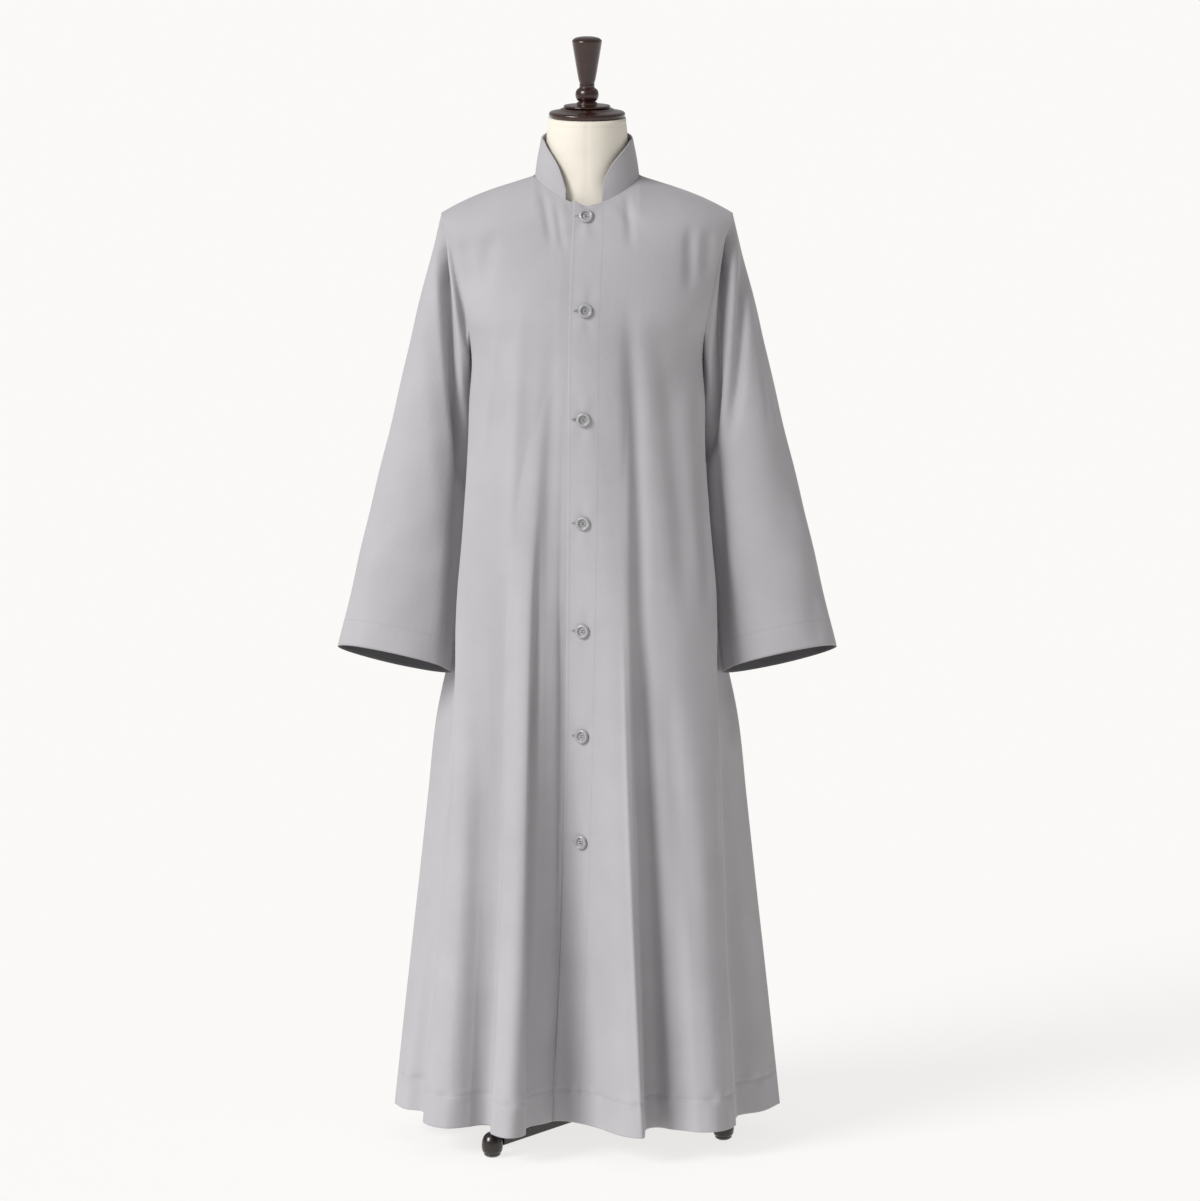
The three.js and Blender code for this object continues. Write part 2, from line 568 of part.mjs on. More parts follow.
const sheets = [frontRight, frontLeft, back, sleeveRight, sleeveLeft, collar];
mitreSeams(sheets);
for (const sheet of [frontRight, frontLeft, back]) drawBack(sheet, 'top');
drawBack(frontRight, 'left');
drawBack(frontLeft, 'right');
drawBack(back, 'left');
drawBack(back, 'right');
for (const point of sleeveRight.grid.flat()) point.x -= SEAM_GAP;
for (const point of sleeveLeft.grid.flat()) point.x += SEAM_GAP;
for (const point of collar.grid.flat()) point.z += SEAM_GAP;
frontRight.grid.forEach((row, r) => row.forEach((point, c) => {
  if (c >= underColumns.length) point.addScaledVector(frontRight.normals[r][c], -LAP_STEP);
}));
sheets.forEach(wallMesh);

// ---- Buttons: turned discs with a raised rim, each square to the cloth under it ----
const BUTTON_PROFILE = [
  [0, 0], [BUTTON.radius * 0.82, 0], [BUTTON.radius, 1.4], [BUTTON.radius, 2.8],
  [BUTTON.radius * 0.9, BUTTON.thick], [BUTTON.radius * 0.76, BUTTON.thick - 0.5],
  [BUTTON.radius * 0.6, BUTTON.thick - 1.6], [0, BUTTON.thick - 2],
].map(([radius, height]) => new THREE.Vector2(radius, height));

function addButton(name, place) {
  const u = columnAtX(place.x, place.z);
  const at = bodyPoint(false, u, place.z);
  const reach = BUTTON.radius;
  const beside = bodyPoint(false, columnAtX(place.x + reach, place.z), place.z)
    .sub(bodyPoint(false, columnAtX(place.x - reach, place.z), place.z));
  const above = bodyPoint(false, columnAtX(place.x, place.z + reach), place.z + reach)
    .sub(bodyPoint(false, columnAtX(place.x, place.z - reach), place.z - reach));
  const out = beside.clone().cross(above).normalize();
  let proud = 0;
  for (let i = 0; i < 8; i++) {
    const z = place.z + reach * Math.sin(i * Math.PI / 4);
    const x = place.x + reach * Math.cos(i * Math.PI / 4);
    proud = Math.max(proud, bodyPoint(false, columnAtX(x, z), z).sub(at).dot(out));
  }
  const geometry = new THREE.LatheGeometry(BUTTON_PROFILE, 24);
  const mesh = new THREE.Mesh(geometry, new THREE.MeshStandardMaterial(PEARL));
  mesh.name = name;
  mesh.quaternion.setFromUnitVectors(new THREE.Vector3(0, 1, 0), out);
  mesh.position.copy(at.addScaledVector(out, proud + BUTTON.lift));
  group.add(mesh);
}
BUTTON_PLACES.forEach((place, i) => addButton(`button_${i + 1}`, place));

// ---- Dress form ----

// A closed loft of ellipses whose front and back halves have their own depth.
function addLoft(name, levels, look) {
  const points = [];
  for (const level of levels) {
    for (let i = 0; i < FORM_SIDES; i++) {
      const turn = 2 * Math.PI * i / FORM_SIDES;
      const depth = Math.sin(turn) < 0 ? -level.front : level.back;
      points.push(level.side * Math.cos(turn), depth * Math.sin(turn), level.z);
    }
  }
  const index = [];
  const last = (levels.length - 1) * FORM_SIDES;
  for (let r = 0; r < levels.length - 1; r++) {
    for (let i = 0; i < FORM_SIDES; i++) {
      const a = r * FORM_SIDES + i;
      const b = r * FORM_SIDES + (i + 1) % FORM_SIDES;
      index.push(a, b, b + FORM_SIDES, a, b + FORM_SIDES, a + FORM_SIDES);
    }
  }
  for (let i = 1; i < FORM_SIDES - 1; i++) {
    index.push(0, i + 1, i, last, last + i, last + i + 1);
  }
  return addMesh(name, points, index, look);
}

function addTurned(name, profile, look, sides = TURNED_SIDES) {
  const outline = profile.map(({ r, z }) => new THREE.Vector2(r, z));
  const geometry = new THREE.LatheGeometry(outline, sides);
  geometry.rotateX(Math.PI / 2);
  const mesh = new THREE.Mesh(geometry, new THREE.MeshStandardMaterial(look));
  mesh.name = name;
  group.add(mesh);
  return mesh;
}

addLoft('form_torso', FORM_LEVELS, JERSEY);
addLoft('form_base', [BOARD.bottom, BOARD.top].map(
  (z) => ({ z, side: BOARD.side, front: -BOARD.depth, back: BOARD.depth })), MAHOGANY);
addTurned('neck_cap', CAP_PROFILE, MAHOGANY);
addTurned('finial', FINIAL_PROFILE, MAHOGANY, 32);
addTurned('pole', [
  { r: 0, z: POLE.foot }, { r: POLE.radius, z: POLE.foot }, { r: POLE.radius, z: POLE.top },
  { r: 0, z: POLE.top },
], MAHOGANY, 24);
addTurned('hub', HUB_PROFILE, MAHOGANY, 32);

// Legs: low arched bars from the hub to the feet
function legShape() {
  const shape = new THREE.Shape();
  shape.moveTo(LEG.start, 26);
  shape.lineTo(LEG.end, 16);
  shape.lineTo(LEG.end, 16 + LEG.rise * 0.9);
  shape.quadraticCurveTo(110, 38, LEG.start, 46);
  shape.closePath();
  return shape;
}
FOOT_ANGLES.forEach((angle, i) => {
  const foot = addTurned(`foot_${i + 1}`, FOOT_PROFILE, MAHOGANY, 32);
  foot.position.set(FOOT.reach * Math.cos(rad(angle)), FOOT.reach * Math.sin(rad(angle)), 0);
  const bar = new THREE.ExtrudeGeometry(legShape(), {
    depth: 2 * LEG.halfWidth - 4, bevelEnabled: true, bevelThickness: 2, bevelSize: 1.5,
    bevelOffset: -1.5, bevelSegments: 2, curveSegments: 8,
  });
  bar.translate(0, 0, 2 - LEG.halfWidth);
  bar.rotateX(Math.PI / 2);
  bar.rotateZ(rad(angle));
  const leg = new THREE.Mesh(bar, new THREE.MeshStandardMaterial(MAHOGANY));
  leg.name = `leg_${i + 1}`;
  group.add(leg);
});

export default group;
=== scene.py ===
"""A long buttoned cassock with a cut-away stand collar, on a limbless dress form."""
import json

import bpy
import numpy as np
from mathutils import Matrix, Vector

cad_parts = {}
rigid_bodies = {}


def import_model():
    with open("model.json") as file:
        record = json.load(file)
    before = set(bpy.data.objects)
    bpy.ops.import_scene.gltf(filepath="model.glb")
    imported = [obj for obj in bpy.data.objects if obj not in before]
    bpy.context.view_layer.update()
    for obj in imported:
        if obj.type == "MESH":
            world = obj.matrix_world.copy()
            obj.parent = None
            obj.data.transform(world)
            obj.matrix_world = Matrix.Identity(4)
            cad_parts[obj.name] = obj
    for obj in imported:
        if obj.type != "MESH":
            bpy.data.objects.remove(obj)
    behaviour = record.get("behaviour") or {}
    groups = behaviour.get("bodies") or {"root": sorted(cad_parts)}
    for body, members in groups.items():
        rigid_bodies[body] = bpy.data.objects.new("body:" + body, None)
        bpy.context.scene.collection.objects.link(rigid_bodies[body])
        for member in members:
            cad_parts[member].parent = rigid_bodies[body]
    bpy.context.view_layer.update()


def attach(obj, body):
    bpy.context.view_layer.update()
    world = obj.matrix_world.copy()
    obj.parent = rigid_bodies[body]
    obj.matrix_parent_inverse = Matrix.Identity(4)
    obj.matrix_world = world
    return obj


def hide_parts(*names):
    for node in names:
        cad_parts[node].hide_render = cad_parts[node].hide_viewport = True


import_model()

MM = 0.001

# ---- Both fronts and the back ----------------------------------------------------------------
# Two fronts and one back, each cut in one from the shoulder to the hem in a plain-woven
# polyester and viscose suiting, joined at the shoulders and sides and flared into deep flutes.
# Shapes are in millimetres, the front faces -Y, and u runs from one side seam (-1) to the other.
HEM_Z = 46
UNDERARM_Z = 1205
FAN_Z = 1370
TIP_X, TIP_Z = 221, 1422
NECK_X, NECK_Z = 80, 1479
NOTCH_Z, BACK_NECK_Z = 1443, 1490
SHOULDER_CROWN, CROWN_SKEW = 5.5, 1.3
SHOULDER_RADIUS = 60
REACH_TOP = np.radians(65)
NECK_U = np.arcsin(NECK_X / TIP_X * np.sin(REACH_TOP)) / REACH_TOP


def table(names, *rows):
    """Rows of numbers as one array for each named column."""
    return dict(zip(names.split(), np.array(rows, float).T))


def along(rows, key, column, at):
    """Cubic through a table's rows, each slope taken from its two neighbours, flat past both ends."""
    x, y = rows[key], rows[column]
    if x[0] > x[-1]:
        x, y = x[::-1], y[::-1]
    slope = np.gradient(y, x)
    slope[1:-1] = (y[2:] - y[:-2]) / (x[2:] - x[:-2])
    at = np.clip(at, x[0], x[-1])
    i = np.clip(np.searchsorted(x, at) - 1, 0, len(x) - 2)
    width = x[i + 1] - x[i]
    t = (at - x[i]) / width
    rest = 1 - t
    ends = y[i] * rest ** 2 * (1 + 2 * t) + y[i + 1] * t ** 2 * (3 - 2 * t)
    return ends + width * t * rest * (slope[i] * rest - slope[i + 1] * t)


CENTRES = table(
    "z front back",
    (1545, -70, 70), (1490, -75, 73), (1443, -80, 92), (1422, -90, 98), (1400, -99, 104),
    (1370, -108, 108), (1330, -116, 112), (1290, -125, 113), (1260, -129, 112),
    (1205, -130, 108), (1150, -129, 104), (1040, -127, 102), (920, -130, 112),
    (740, -136, 134), (520, -145, 148), (240, -157, 160), (HEM_Z, -165, 165))
ARMHOLE = table(
    "z x front back",
    (1500, 221, -50, 46), (1422, 221, -50, 46), (1400, 213, -46, 43), (1370, 203, -45, 42),
    (1330, 194, -50, 46), (1290, 186, -54, 48), (1260, 180, -52, 46), (1232, 176, -36, 36),
    (UNDERARM_Z, 172, 8, 8))
SIDE_SEAM = table(
    "z x y",
    (UNDERARM_Z, 172, 8), (1150, 165, 14), (1090, 164, 18), (1040, 166, 20), (984, 170, 26),
    (920, 176, 32), (860, 184, 38), (800, 195, 43), (740, 210, 47), (640, 231, 44),
    (520, 244, 38), (400, 257, 30), (240, 275, 16), (HEM_Z, 296, 0))
ARM_FOLD = table(
    "z reach x y tuck",
    (1245, 1, 178, -45, 0), (1205, 0.9, 175.5, -43, 1), (1150, 0.78, 179, -49, 4),
    (1090, 0.72, 180, -54, 8), (1040, 0.7, 182, -57, 10), (984, 0.7, 186, -60, 12),
    (920, 0.7, 191, -64, 13), (860, 0.7, 196, -68, 13), (800, 0.7, 199, -72, 14),
    (740, 0.7, 200, -77, 14), (640, 0.7, 204, -86, 12), (520, 0.7, 211, -97, 11),
    (400, 0.7, 218, -107, 10), (240, 0.7, 231, -120, 9), (HEM_Z, 0.7, 248, -135, 8))
FRONT_HEM = table(
    "u x y start",
    (-1, -296, 0, 780), (-0.9, -280, -38, 780), (-0.8, -249, -60, 840), (-0.7, -246, -135, 900),
    (-0.6, -217, -167, 860), (-0.48, -179, -160, 820), (-0.37, -146, -153, 960),
    (-0.335, -147, -200, 1000), (-NECK_U, -126, -230, 1080), (-0.245, -103, -226, 1140),
    (-0.205, -81, -187, 1200), (-0.175, -73, -153, 1230), (-0.13, -58, -120, 1240),
    (-0.11, -53, -113, 1240), (-0.05, -20, -127, 1200), (0.04, 18, -167, 1100),
    (0.11, 49, -213, 1040), (0.165, 79, -233, 1040), (0.195, 90, -220, 1100),
    (0.235, 94, -180, 1200), (NECK_U, 112, -171, 1160), (0.37, 143, -181, 1100),
    (0.46, 170, -193, 1000), (0.58, 201, -187, 880), (0.7, 223, -153, 860),
    (0.8, 228, -87, 800), (0.9, 269, -53, 780), (1, 296, 0, 780))
BACK_HEM = table(
    "u x y start",
    (-1, -296, 0, 780), (-0.88, -270, 58, 800), (-0.78, -233, 84, 860), (-0.69, -224, 150, 880),
    (-0.6, -196, 184, 860), (-0.52, -160, 176, 880), (-0.44, -138, 142, 940),
    (-0.37, -118, 168, 980), (-NECK_U, -92, 214, 1000), (-0.22, -60, 233, 1020),
    (-0.15, -30, 206, 1040), (-0.08, -8, 168, 1060), (0, 20, 172, 1040), (0.09, 48, 212, 1020),
    (0.17, 80, 233, 1000), (0.24, 108, 210, 1000), (NECK_U, 120, 166, 1040),
    (0.37, 146, 160, 980), (0.46, 176, 186, 920), (0.56, 206, 178, 880), (0.65, 224, 146, 860),
    (0.75, 232, 92, 820), (0.87, 266, 62, 800), (1, 296, 0, 780))
FRONT_EDGES = table(
    "z over under",
    (1449, -20, 23), (1370, -24, 22), (1250, -28, 20), (968, -30, 20), (640, -33, 20),
    (480, -36, 20), (240, -43, 20), (HEM_Z, -53, 20))

BUTTON_PLACES = table(
    "x z",
    (-1.5, 1428), (-2.3, 1290), (-5.3, 1126), (-6, 968), (-6.9, 804), (-7.6, 643.5), (-9, 481))

# Creases that the cloth takes where it is worn: each runs from (x0, z0) to (x1, z1) in the view
# from the front or from behind, bends sideways by bend, and sinks by depth over its width.
# A negative depth stands up as a ridge.
FRONT_CREASES = table(
    "x0 z0 x1 z1 bend width depth",
    (-127, 1290, -158, 1040, -5, 8, -1.8), (-96, 1330, -112, 800, -4, 13, -5),
    (-112, 900, -147, 40, 4, 2.8, -2.4), (-196, 780, -249, 40, 6, 2.8, -2.6),
    (-46, 1300, -66, 760, -3, 16, 6), (-69, 1000, -79, 40, -3, 8, 17),
    (-152, 700, -164, 40, 0, 20, 7), (-44, 1000, -54, 40, -2, 12, -6),
    (60, 1330, 78, 760, 6, 13, 10), (70, 1000, 106, 40, 3, 13, 14),
    (53, 860, 84, 40, -4, 3, -3.4), (102, 1300, 148, 780, 10, 16, 5),
    (110, 760, 160, 300, 6, 20, 5), (197, 740, 226, 40, -6, 2.8, -2.6),
    (165, 1200, 186, 800, 0, 9, 4), (206, 722, 224, 600, 0, 10, 3),
    (-186, 1400, -174, 1300, 3, 12, 3.5), (-135, 1415, -160, 1310, -3, 14, 4),
    (154, 1420, 155, 1310, 0, 9, 4.5), (183, 1410, 180, 1330, 0, 9, 4),
    (-72, 1474, -54, 1380, 3, 7, 3), (-48, 1456, -34, 1370, 0, 6, 2.2),
    (58, 1466, 68, 1380, 0, 7, 3), (34, 1452, 92, 1400, 3, 6, 2.4),
    (-150, 1230, -130, 1080, -4, 20, 3), (148, 1240, 120, 1100, 5, 20, 3))
BACK_CREASES = table(
    "x0 z0 x1 z1 bend width depth",
    (-150, 1420, -158, 1330, 0, 10, 4), (172, 1415, 165, 1325, 0, 9, 4),
    (-60, 1450, -40, 1350, 4, 10, 2.4), (64, 1452, 38, 1340, -4, 10, 2.6),
    (-135, 1260, -70, 1090, -8, 18, 4), (140, 1270, 78, 1100, 8, 18, 4),
    (-50, 1180, -36, 780, 4, 18, 5), (40, 1160, 62, 760, -4, 16, 5),
    (-10, 1000, 6, 40, 4, 12, 8), (-140, 960, -150, 40, 3, 12, 8),
    (132, 960, 142, 40, -3, 12, 8), (-112, 860, -98, 40, 3, 3.4, -1.6),
    (70, 860, 84, 40, -3, 3.4, -1.6), (-200, 700, -222, 40, 3, 3.4, -1.6),
    (206, 720, 228, 40, -3, 3.4, -1.6))


def panel_section(back, u, z):
    """Partial ellipse from the centre to the armhole or the arm fold, then on the front a shallow
    tuck, straight from the fold to the side seam less a parabola."""
    depth = along(CENTRES, "z", "back" if back else "front", z)
    above = z >= UNDERARM_Z
    edge_x = np.where(above, along(ARMHOLE, "z", "x", z), along(SIDE_SEAM, "z", "x", z))
    edge_y = np.where(above, along(ARMHOLE, "z", "back" if back else "front", z),
                      along(SIDE_SEAM, "z", "y", z))
    reach, fold_x, fold_y, end = np.ones_like(z), edge_x, edge_y, REACH_TOP
    if back:
        opening = np.clip((FAN_Z - z) / (FAN_Z - UNDERARM_Z), 0, 1)
        end = REACH_TOP + (np.pi / 2 - REACH_TOP) * opening
    else:
        folded = z < ARM_FOLD["z"][0]
        reach = np.where(folded, along(ARM_FOLD, "z", "reach", z), 1)
        fold_x = np.where(folded, along(ARM_FOLD, "z", "x", z), edge_x)
        fold_y = np.where(folded, along(ARM_FOLD, "z", "y", z), edge_y)
    turn = np.clip(u / reach, -1, 1) * end
    share = (np.cos(turn) - np.cos(end)) / (1 - np.cos(end))
    x = fold_x * np.sin(turn) / np.sin(end)
    y = fold_y + (depth - fold_y) * share
    if back:
        return x, y
    past = np.clip((np.abs(u) - reach) / np.maximum(1 - reach, 1e-6), 0, 1)
    tuck = 4 * past * (1 - past) * along(ARM_FOLD, "z", "tuck", z)
    beyond = past > 0
    x = np.where(beyond, np.sign(u) * (fold_x + (edge_x - fold_x) * past - tuck), x)
    return x, np.where(beyond, fold_y + (edge_y - fold_y) * past, y)


def ridge_height(x, back):
    """Shoulder seam: a straight fall from neck to tip plus a half sine whose top is skewed towards
    the tip; it runs on inside the neck."""
    across = np.abs(x)
    share = (across - NECK_X) / (TIP_X - NECK_X)
    crown = SHOULDER_CROWN * np.sin(np.pi * np.clip(share, 0, 1) ** CROWN_SKEW)
    seam = NECK_Z + (TIP_Z - NECK_Z) * share + crown
    return np.where(across < NECK_X, NECK_Z + (NECK_X - across) * (0.85 if back else 0.12), seam)


def top_height(x, back):
    """Neckline inside the neck point, shoulder seam outside it."""
    part = np.minimum(np.abs(x) / NECK_X, 1)
    front_neck = NOTCH_Z + (NECK_Z - NOTCH_Z) * part ** 1.6
    back_neck = NECK_Z + (BACK_NECK_Z - NECK_Z) * (1 - part ** 2)
    return np.where(np.abs(x) >= NECK_X, ridge_height(x, back), back_neck if back else front_neck)


def body_point(back, u, z):
    """The plain section, leaning to the fluted hem by the 1.2 power of the share of the drop below
    each fold's start, its depth turned over the shoulder by a quarter ellipse."""
    hem = BACK_HEM if back else FRONT_HEM
    x, y = panel_section(back, u, z)
    hem_x, hem_y = panel_section(back, u, np.full_like(z, HEM_Z))
    start = along(hem, "u", "start", u)
    lean = np.clip((start - z) / (start - HEM_Z), 0, 1) ** 1.2
    x = x + lean * (along(hem, "u", "x", u) - hem_x)
    y = y + lean * (along(hem, "u", "y", u) - hem_y)
    drop = np.clip((ridge_height(x, back) - z) / SHOULDER_RADIUS, 0, 1)
    return np.stack([x, y * np.sqrt(1 - (1 - drop) ** 2), z], -1)


def column_at(wanted, z):
    """The u at which the front has the wanted x at height z, found by halving."""
    low, high = np.full_like(z, -0.4), np.full_like(z, 0.4)
    for _ in range(30):
        middle = (low + high) / 2
        short = body_point(False, middle, z)[..., 0] < wanted
        low, high = np.where(short, middle, low), np.where(short, high, middle)
    return (low + high) / 2


RISE_SHARE, FALL_SHARE = 0.35, 0.3


def crease_depth(creases, x, z):
    """Sum over creases of depth times a bell across the line times a smooth rise over its first
    share and a fall over its last share, or no fall where it runs off the hem."""
    depth = np.zeros_like(x)
    for x0, z0, x1, z1, bend, width, sink in zip(*creases.values()):
        t = (z0 - z) / (z0 - z1)
        line = x0 + (x1 - x0) * t + bend * 4 * t * (1 - t)
        rise = np.clip(t / RISE_SHARE, 0, 1)
        fall = 1 if z1 < HEM_Z else np.clip((1 - t) / FALL_SHARE, 0, 1)
        fade = rise ** 2 * (3 - 2 * rise) * fall ** 2 * (3 - 2 * fall)
        depth += sink * np.exp(-((x - line) / width) ** 2) * fade
    return depth


def normals_of(grid):
    """Unit normals from the cross product of the two grid directions."""
    cross = np.cross(np.gradient(grid, axis=0), np.gradient(grid, axis=1))
    return cross / np.maximum(np.linalg.norm(cross, axis=-1, keepdims=True), 1e-9)


def softened(grid, passes, sides=True):
    """Each inner point moved to the mean of itself and its neighbours along both directions."""
    grid = grid.copy()
    for _ in range(passes):
        grid[1:-1] = (grid[:-2] + 2 * grid[1:-1] + grid[2:]) / 4
        if sides:
            grid[:, 1:-1] = (grid[:, :-2] + 2 * grid[:, 1:-1] + grid[:, 2:]) / 4
    return grid


FAN_ROWS, DROP_ROWS, HEM_ROWS = 22, 150, 36
HEM_DEPTH = 50


def panel_grid(back, left_u, right_u, columns):
    """Rows fan from the top edge to a level line by one minus a cosine, then run level to the hem,
    closer together over the hem's turning; columns run from left_u(z) to right_u(z)."""
    share = np.linspace(0, 1, columns)[None, :]
    above = np.full((1, 1), TIP_Z + 20.0)
    top_u = left_u(above) * (1 - share) + right_u(above) * share
    top = top_height(TIP_X * np.sin(top_u * REACH_TOP) / np.sin(REACH_TOP), back)
    fan = 1 - np.cos(np.pi / 2 * np.arange(FAN_ROWS) / FAN_ROWS)[:, None]
    turning = HEM_Z + HEM_DEPTH + 14
    level = np.concatenate([np.linspace(FAN_Z, turning, DROP_ROWS)[:-1],
                            np.linspace(turning, HEM_Z, HEM_ROWS)])[:, None]
    z = np.concatenate([top + (FAN_Z - top) * fan, level + 0 * top])
    u = left_u(z) * (1 - share) + right_u(z) * share
    return body_point(back, u, z)


def button_pull(x, z):
    """Each button pulls the cloth into a dimple with a few rays: a bell of the distance, and a wider
    bell times a sine of five times the angle round the button."""
    depth = np.zeros_like(x)
    for i, (bx, bz) in enumerate(zip(BUTTON_PLACES["x"], BUTTON_PLACES["z"])):
        away = np.hypot(x - bx, z - bz)
        angle = np.arctan2(z - bz, x - bx)
        depth += 0.5 * np.exp(-(away / 14) ** 2)
        depth += 0.8 * np.exp(-((away - 22) / 14) ** 2) * np.sin(5 * angle + 2 * i)
    return depth


def finish_cloth(grid, back, creases, seams):
    """Adds the creases along the normals, an uneven slackness, the buttons' pull and the puckers
    over the hem's stitch line, all fading out at the seam columns; the armhole's seam lies in a
    shallow groove."""
    x, z = grid[..., 0], grid[..., 2]
    side = 1 if back else -1
    depth = crease_depth(creases, x, z)
    depth += 0.7 * np.sin(x / 31 + z / 67 + side) * np.sin(z / 83 - x / 47) * np.clip(
        (1440 - z) / 80, 0, 1)
    if not back:
        depth += button_pull(x, z)
    along_hem = np.arctan2(grid[..., 1], x) * 210
    above_stitch = z - HEM_Z - HEM_DEPTH
    depth += 1.1 * np.exp(-(above_stitch / 3) ** 2)
    depth += 2.2 * np.exp(-(above_stitch / 9) ** 2) * np.sin(along_hem / 5) * np.sin(
        along_hem / 17 + 1)
    from_seam = np.min([np.abs(np.arange(grid.shape[1]) - seam) for seam in seams], 0)
    depth *= 1 - np.exp(-(from_seam / 4) ** 2)
    depth += 2.2 * np.exp(-(from_seam / 1.3) ** 2) * np.clip((z - UNDERARM_Z - 10) / 30, 0, 1)
    outward = normals_of(grid)
    outward *= np.sign((outward[DROP_ROWS // 2, :, 1] * side).mean())
    return grid - outward * depth[..., None]


def srgb(code):
    """Linear colour of an sRGB hex code."""
    parts = np.array([int(code[i:i + 2], 16) for i in (0, 2, 4)]) / 255
    linear = np.where(parts <= 0.04045, parts / 12.92, ((parts + 0.055) / 1.055) ** 2.4)
    return (*linear.tolist(), 1.0)


def add_node(tree, kind, settings=None, values=None, links=None):
    """One shader node with its properties, its sockets' values and its incoming links."""
    node = tree.nodes.new(kind)
    for name, value in (settings or {}).items():
        setattr(node, name, value)
    for name, value in (values or {}).items():
        node.inputs[name].default_value = value
    for name, source in (links or {}).items():
        tree.links.new(source, node.inputs[name])
    return node


def blank_material(name):
    """A material that holds only its output, and its node tree."""
    material = bpy.data.materials.new(name)
    material.use_nodes = True
    tree = material.node_tree
    tree.nodes.clear()
    return material, tree


def set_ramp(ramp, *stops):
    """Gives a colour ramp its (place, colour) stops."""
    while len(ramp.color_ramp.elements) > 1:
        ramp.color_ramp.elements.remove(ramp.color_ramp.elements[0])
    ramp.color_ramp.elements[0].position, ramp.color_ramp.elements[0].color = stops[0]
    for place, colour in stops[1:]:
        ramp.color_ramp.elements.new(place).color = colour


WEAVE_SCALE = 1 / 1.1 / MM / 20 / 2


def suiting_material():
    """Plain-woven suiting, piece-dyed pale grey and pressed: matt, with a faint bloom at grazing
    angles and a slight unevenness in the yarn."""
    material, tree = blank_material("plain_woven_suiting")
    uv = add_node(tree, "ShaderNodeUVMap", {"uv_map": "cut"})
    place = add_node(tree, "ShaderNodeTexCoord")
    # A wave repeats every 0.314 / scale, here 14 mm. That is far coarser than the real weave of about
    # 0.5 mm, so this faint relief reads as unevenness and not as threads.
    warp = add_node(tree, "ShaderNodeTexWave", {"wave_type": "BANDS", "bands_direction": "X"},
                    {"Scale": WEAVE_SCALE, "Distortion": 0.6, "Detail": 1.0, "Detail Scale": 2.0},
                    {"Vector": uv.outputs["UV"]})
    weft = add_node(tree, "ShaderNodeTexWave", {"wave_type": "BANDS", "bands_direction": "Y"},
                    {"Scale": WEAVE_SCALE, "Distortion": 0.6, "Detail": 1.0, "Detail Scale": 2.0},
                    {"Vector": uv.outputs["UV"]})
    weave = add_node(tree, "ShaderNodeMath", {"operation": "ADD"})
    tree.links.new(warp.outputs["Fac"], weave.inputs[0])
    tree.links.new(weft.outputs["Fac"], weave.inputs[1])
    slub = add_node(tree, "ShaderNodeTexNoise", None, {"Scale": 9.0, "Detail": 5.0,
                                                       "Roughness": 0.6},
                    {"Vector": place.outputs["Object"]})
    tint = add_node(tree, "ShaderNodeValToRGB", None, None, {"Fac": slub.outputs["Fac"]})
    set_ramp(tint, (0.3, srgb("a6a4a7")), (0.7, srgb("adabae")))
    fine = add_node(tree, "ShaderNodeTexNoise", None, {"Scale": 260.0, "Detail": 3.0},
                    {"Vector": place.outputs["Object"]})
    rough = add_node(tree, "ShaderNodeMapRange", None, {"To Min": 0.74, "To Max": 0.86},
                     {"Value": fine.outputs["Fac"]})
    threads = add_node(tree, "ShaderNodeBump", None, {"Strength": 0.16, "Distance": 0.00025},
                       {"Height": weave.outputs["Value"]})
    slack = add_node(tree, "ShaderNodeBump", None, {"Strength": 0.25, "Distance": 0.0008},
                     {"Height": slub.outputs["Fac"], "Normal": threads.outputs["Normal"]})
    cloth = add_node(tree, "ShaderNodeBsdfPrincipled", None,
                     {"IOR": 1.5, "Specular IOR Level": 0.25, "Sheen Weight": 0.22,
                      "Sheen Roughness": 0.45},
                     {"Base Color": tint.outputs["Color"], "Roughness": rough.outputs["Result"],
                      "Normal": slack.outputs["Normal"]})
    add_node(tree, "ShaderNodeOutputMaterial", None, None, {"Surface": cloth.outputs["BSDF"]})
    return material


SUITING = suiting_material()
CLOTH_WALL = 0.8


def add_object(name, data):
    """An object at the origin that holds the given mesh, light or camera."""
    made = bpy.data.objects.new(name, data)
    bpy.context.scene.collection.objects.link(made)
    return made


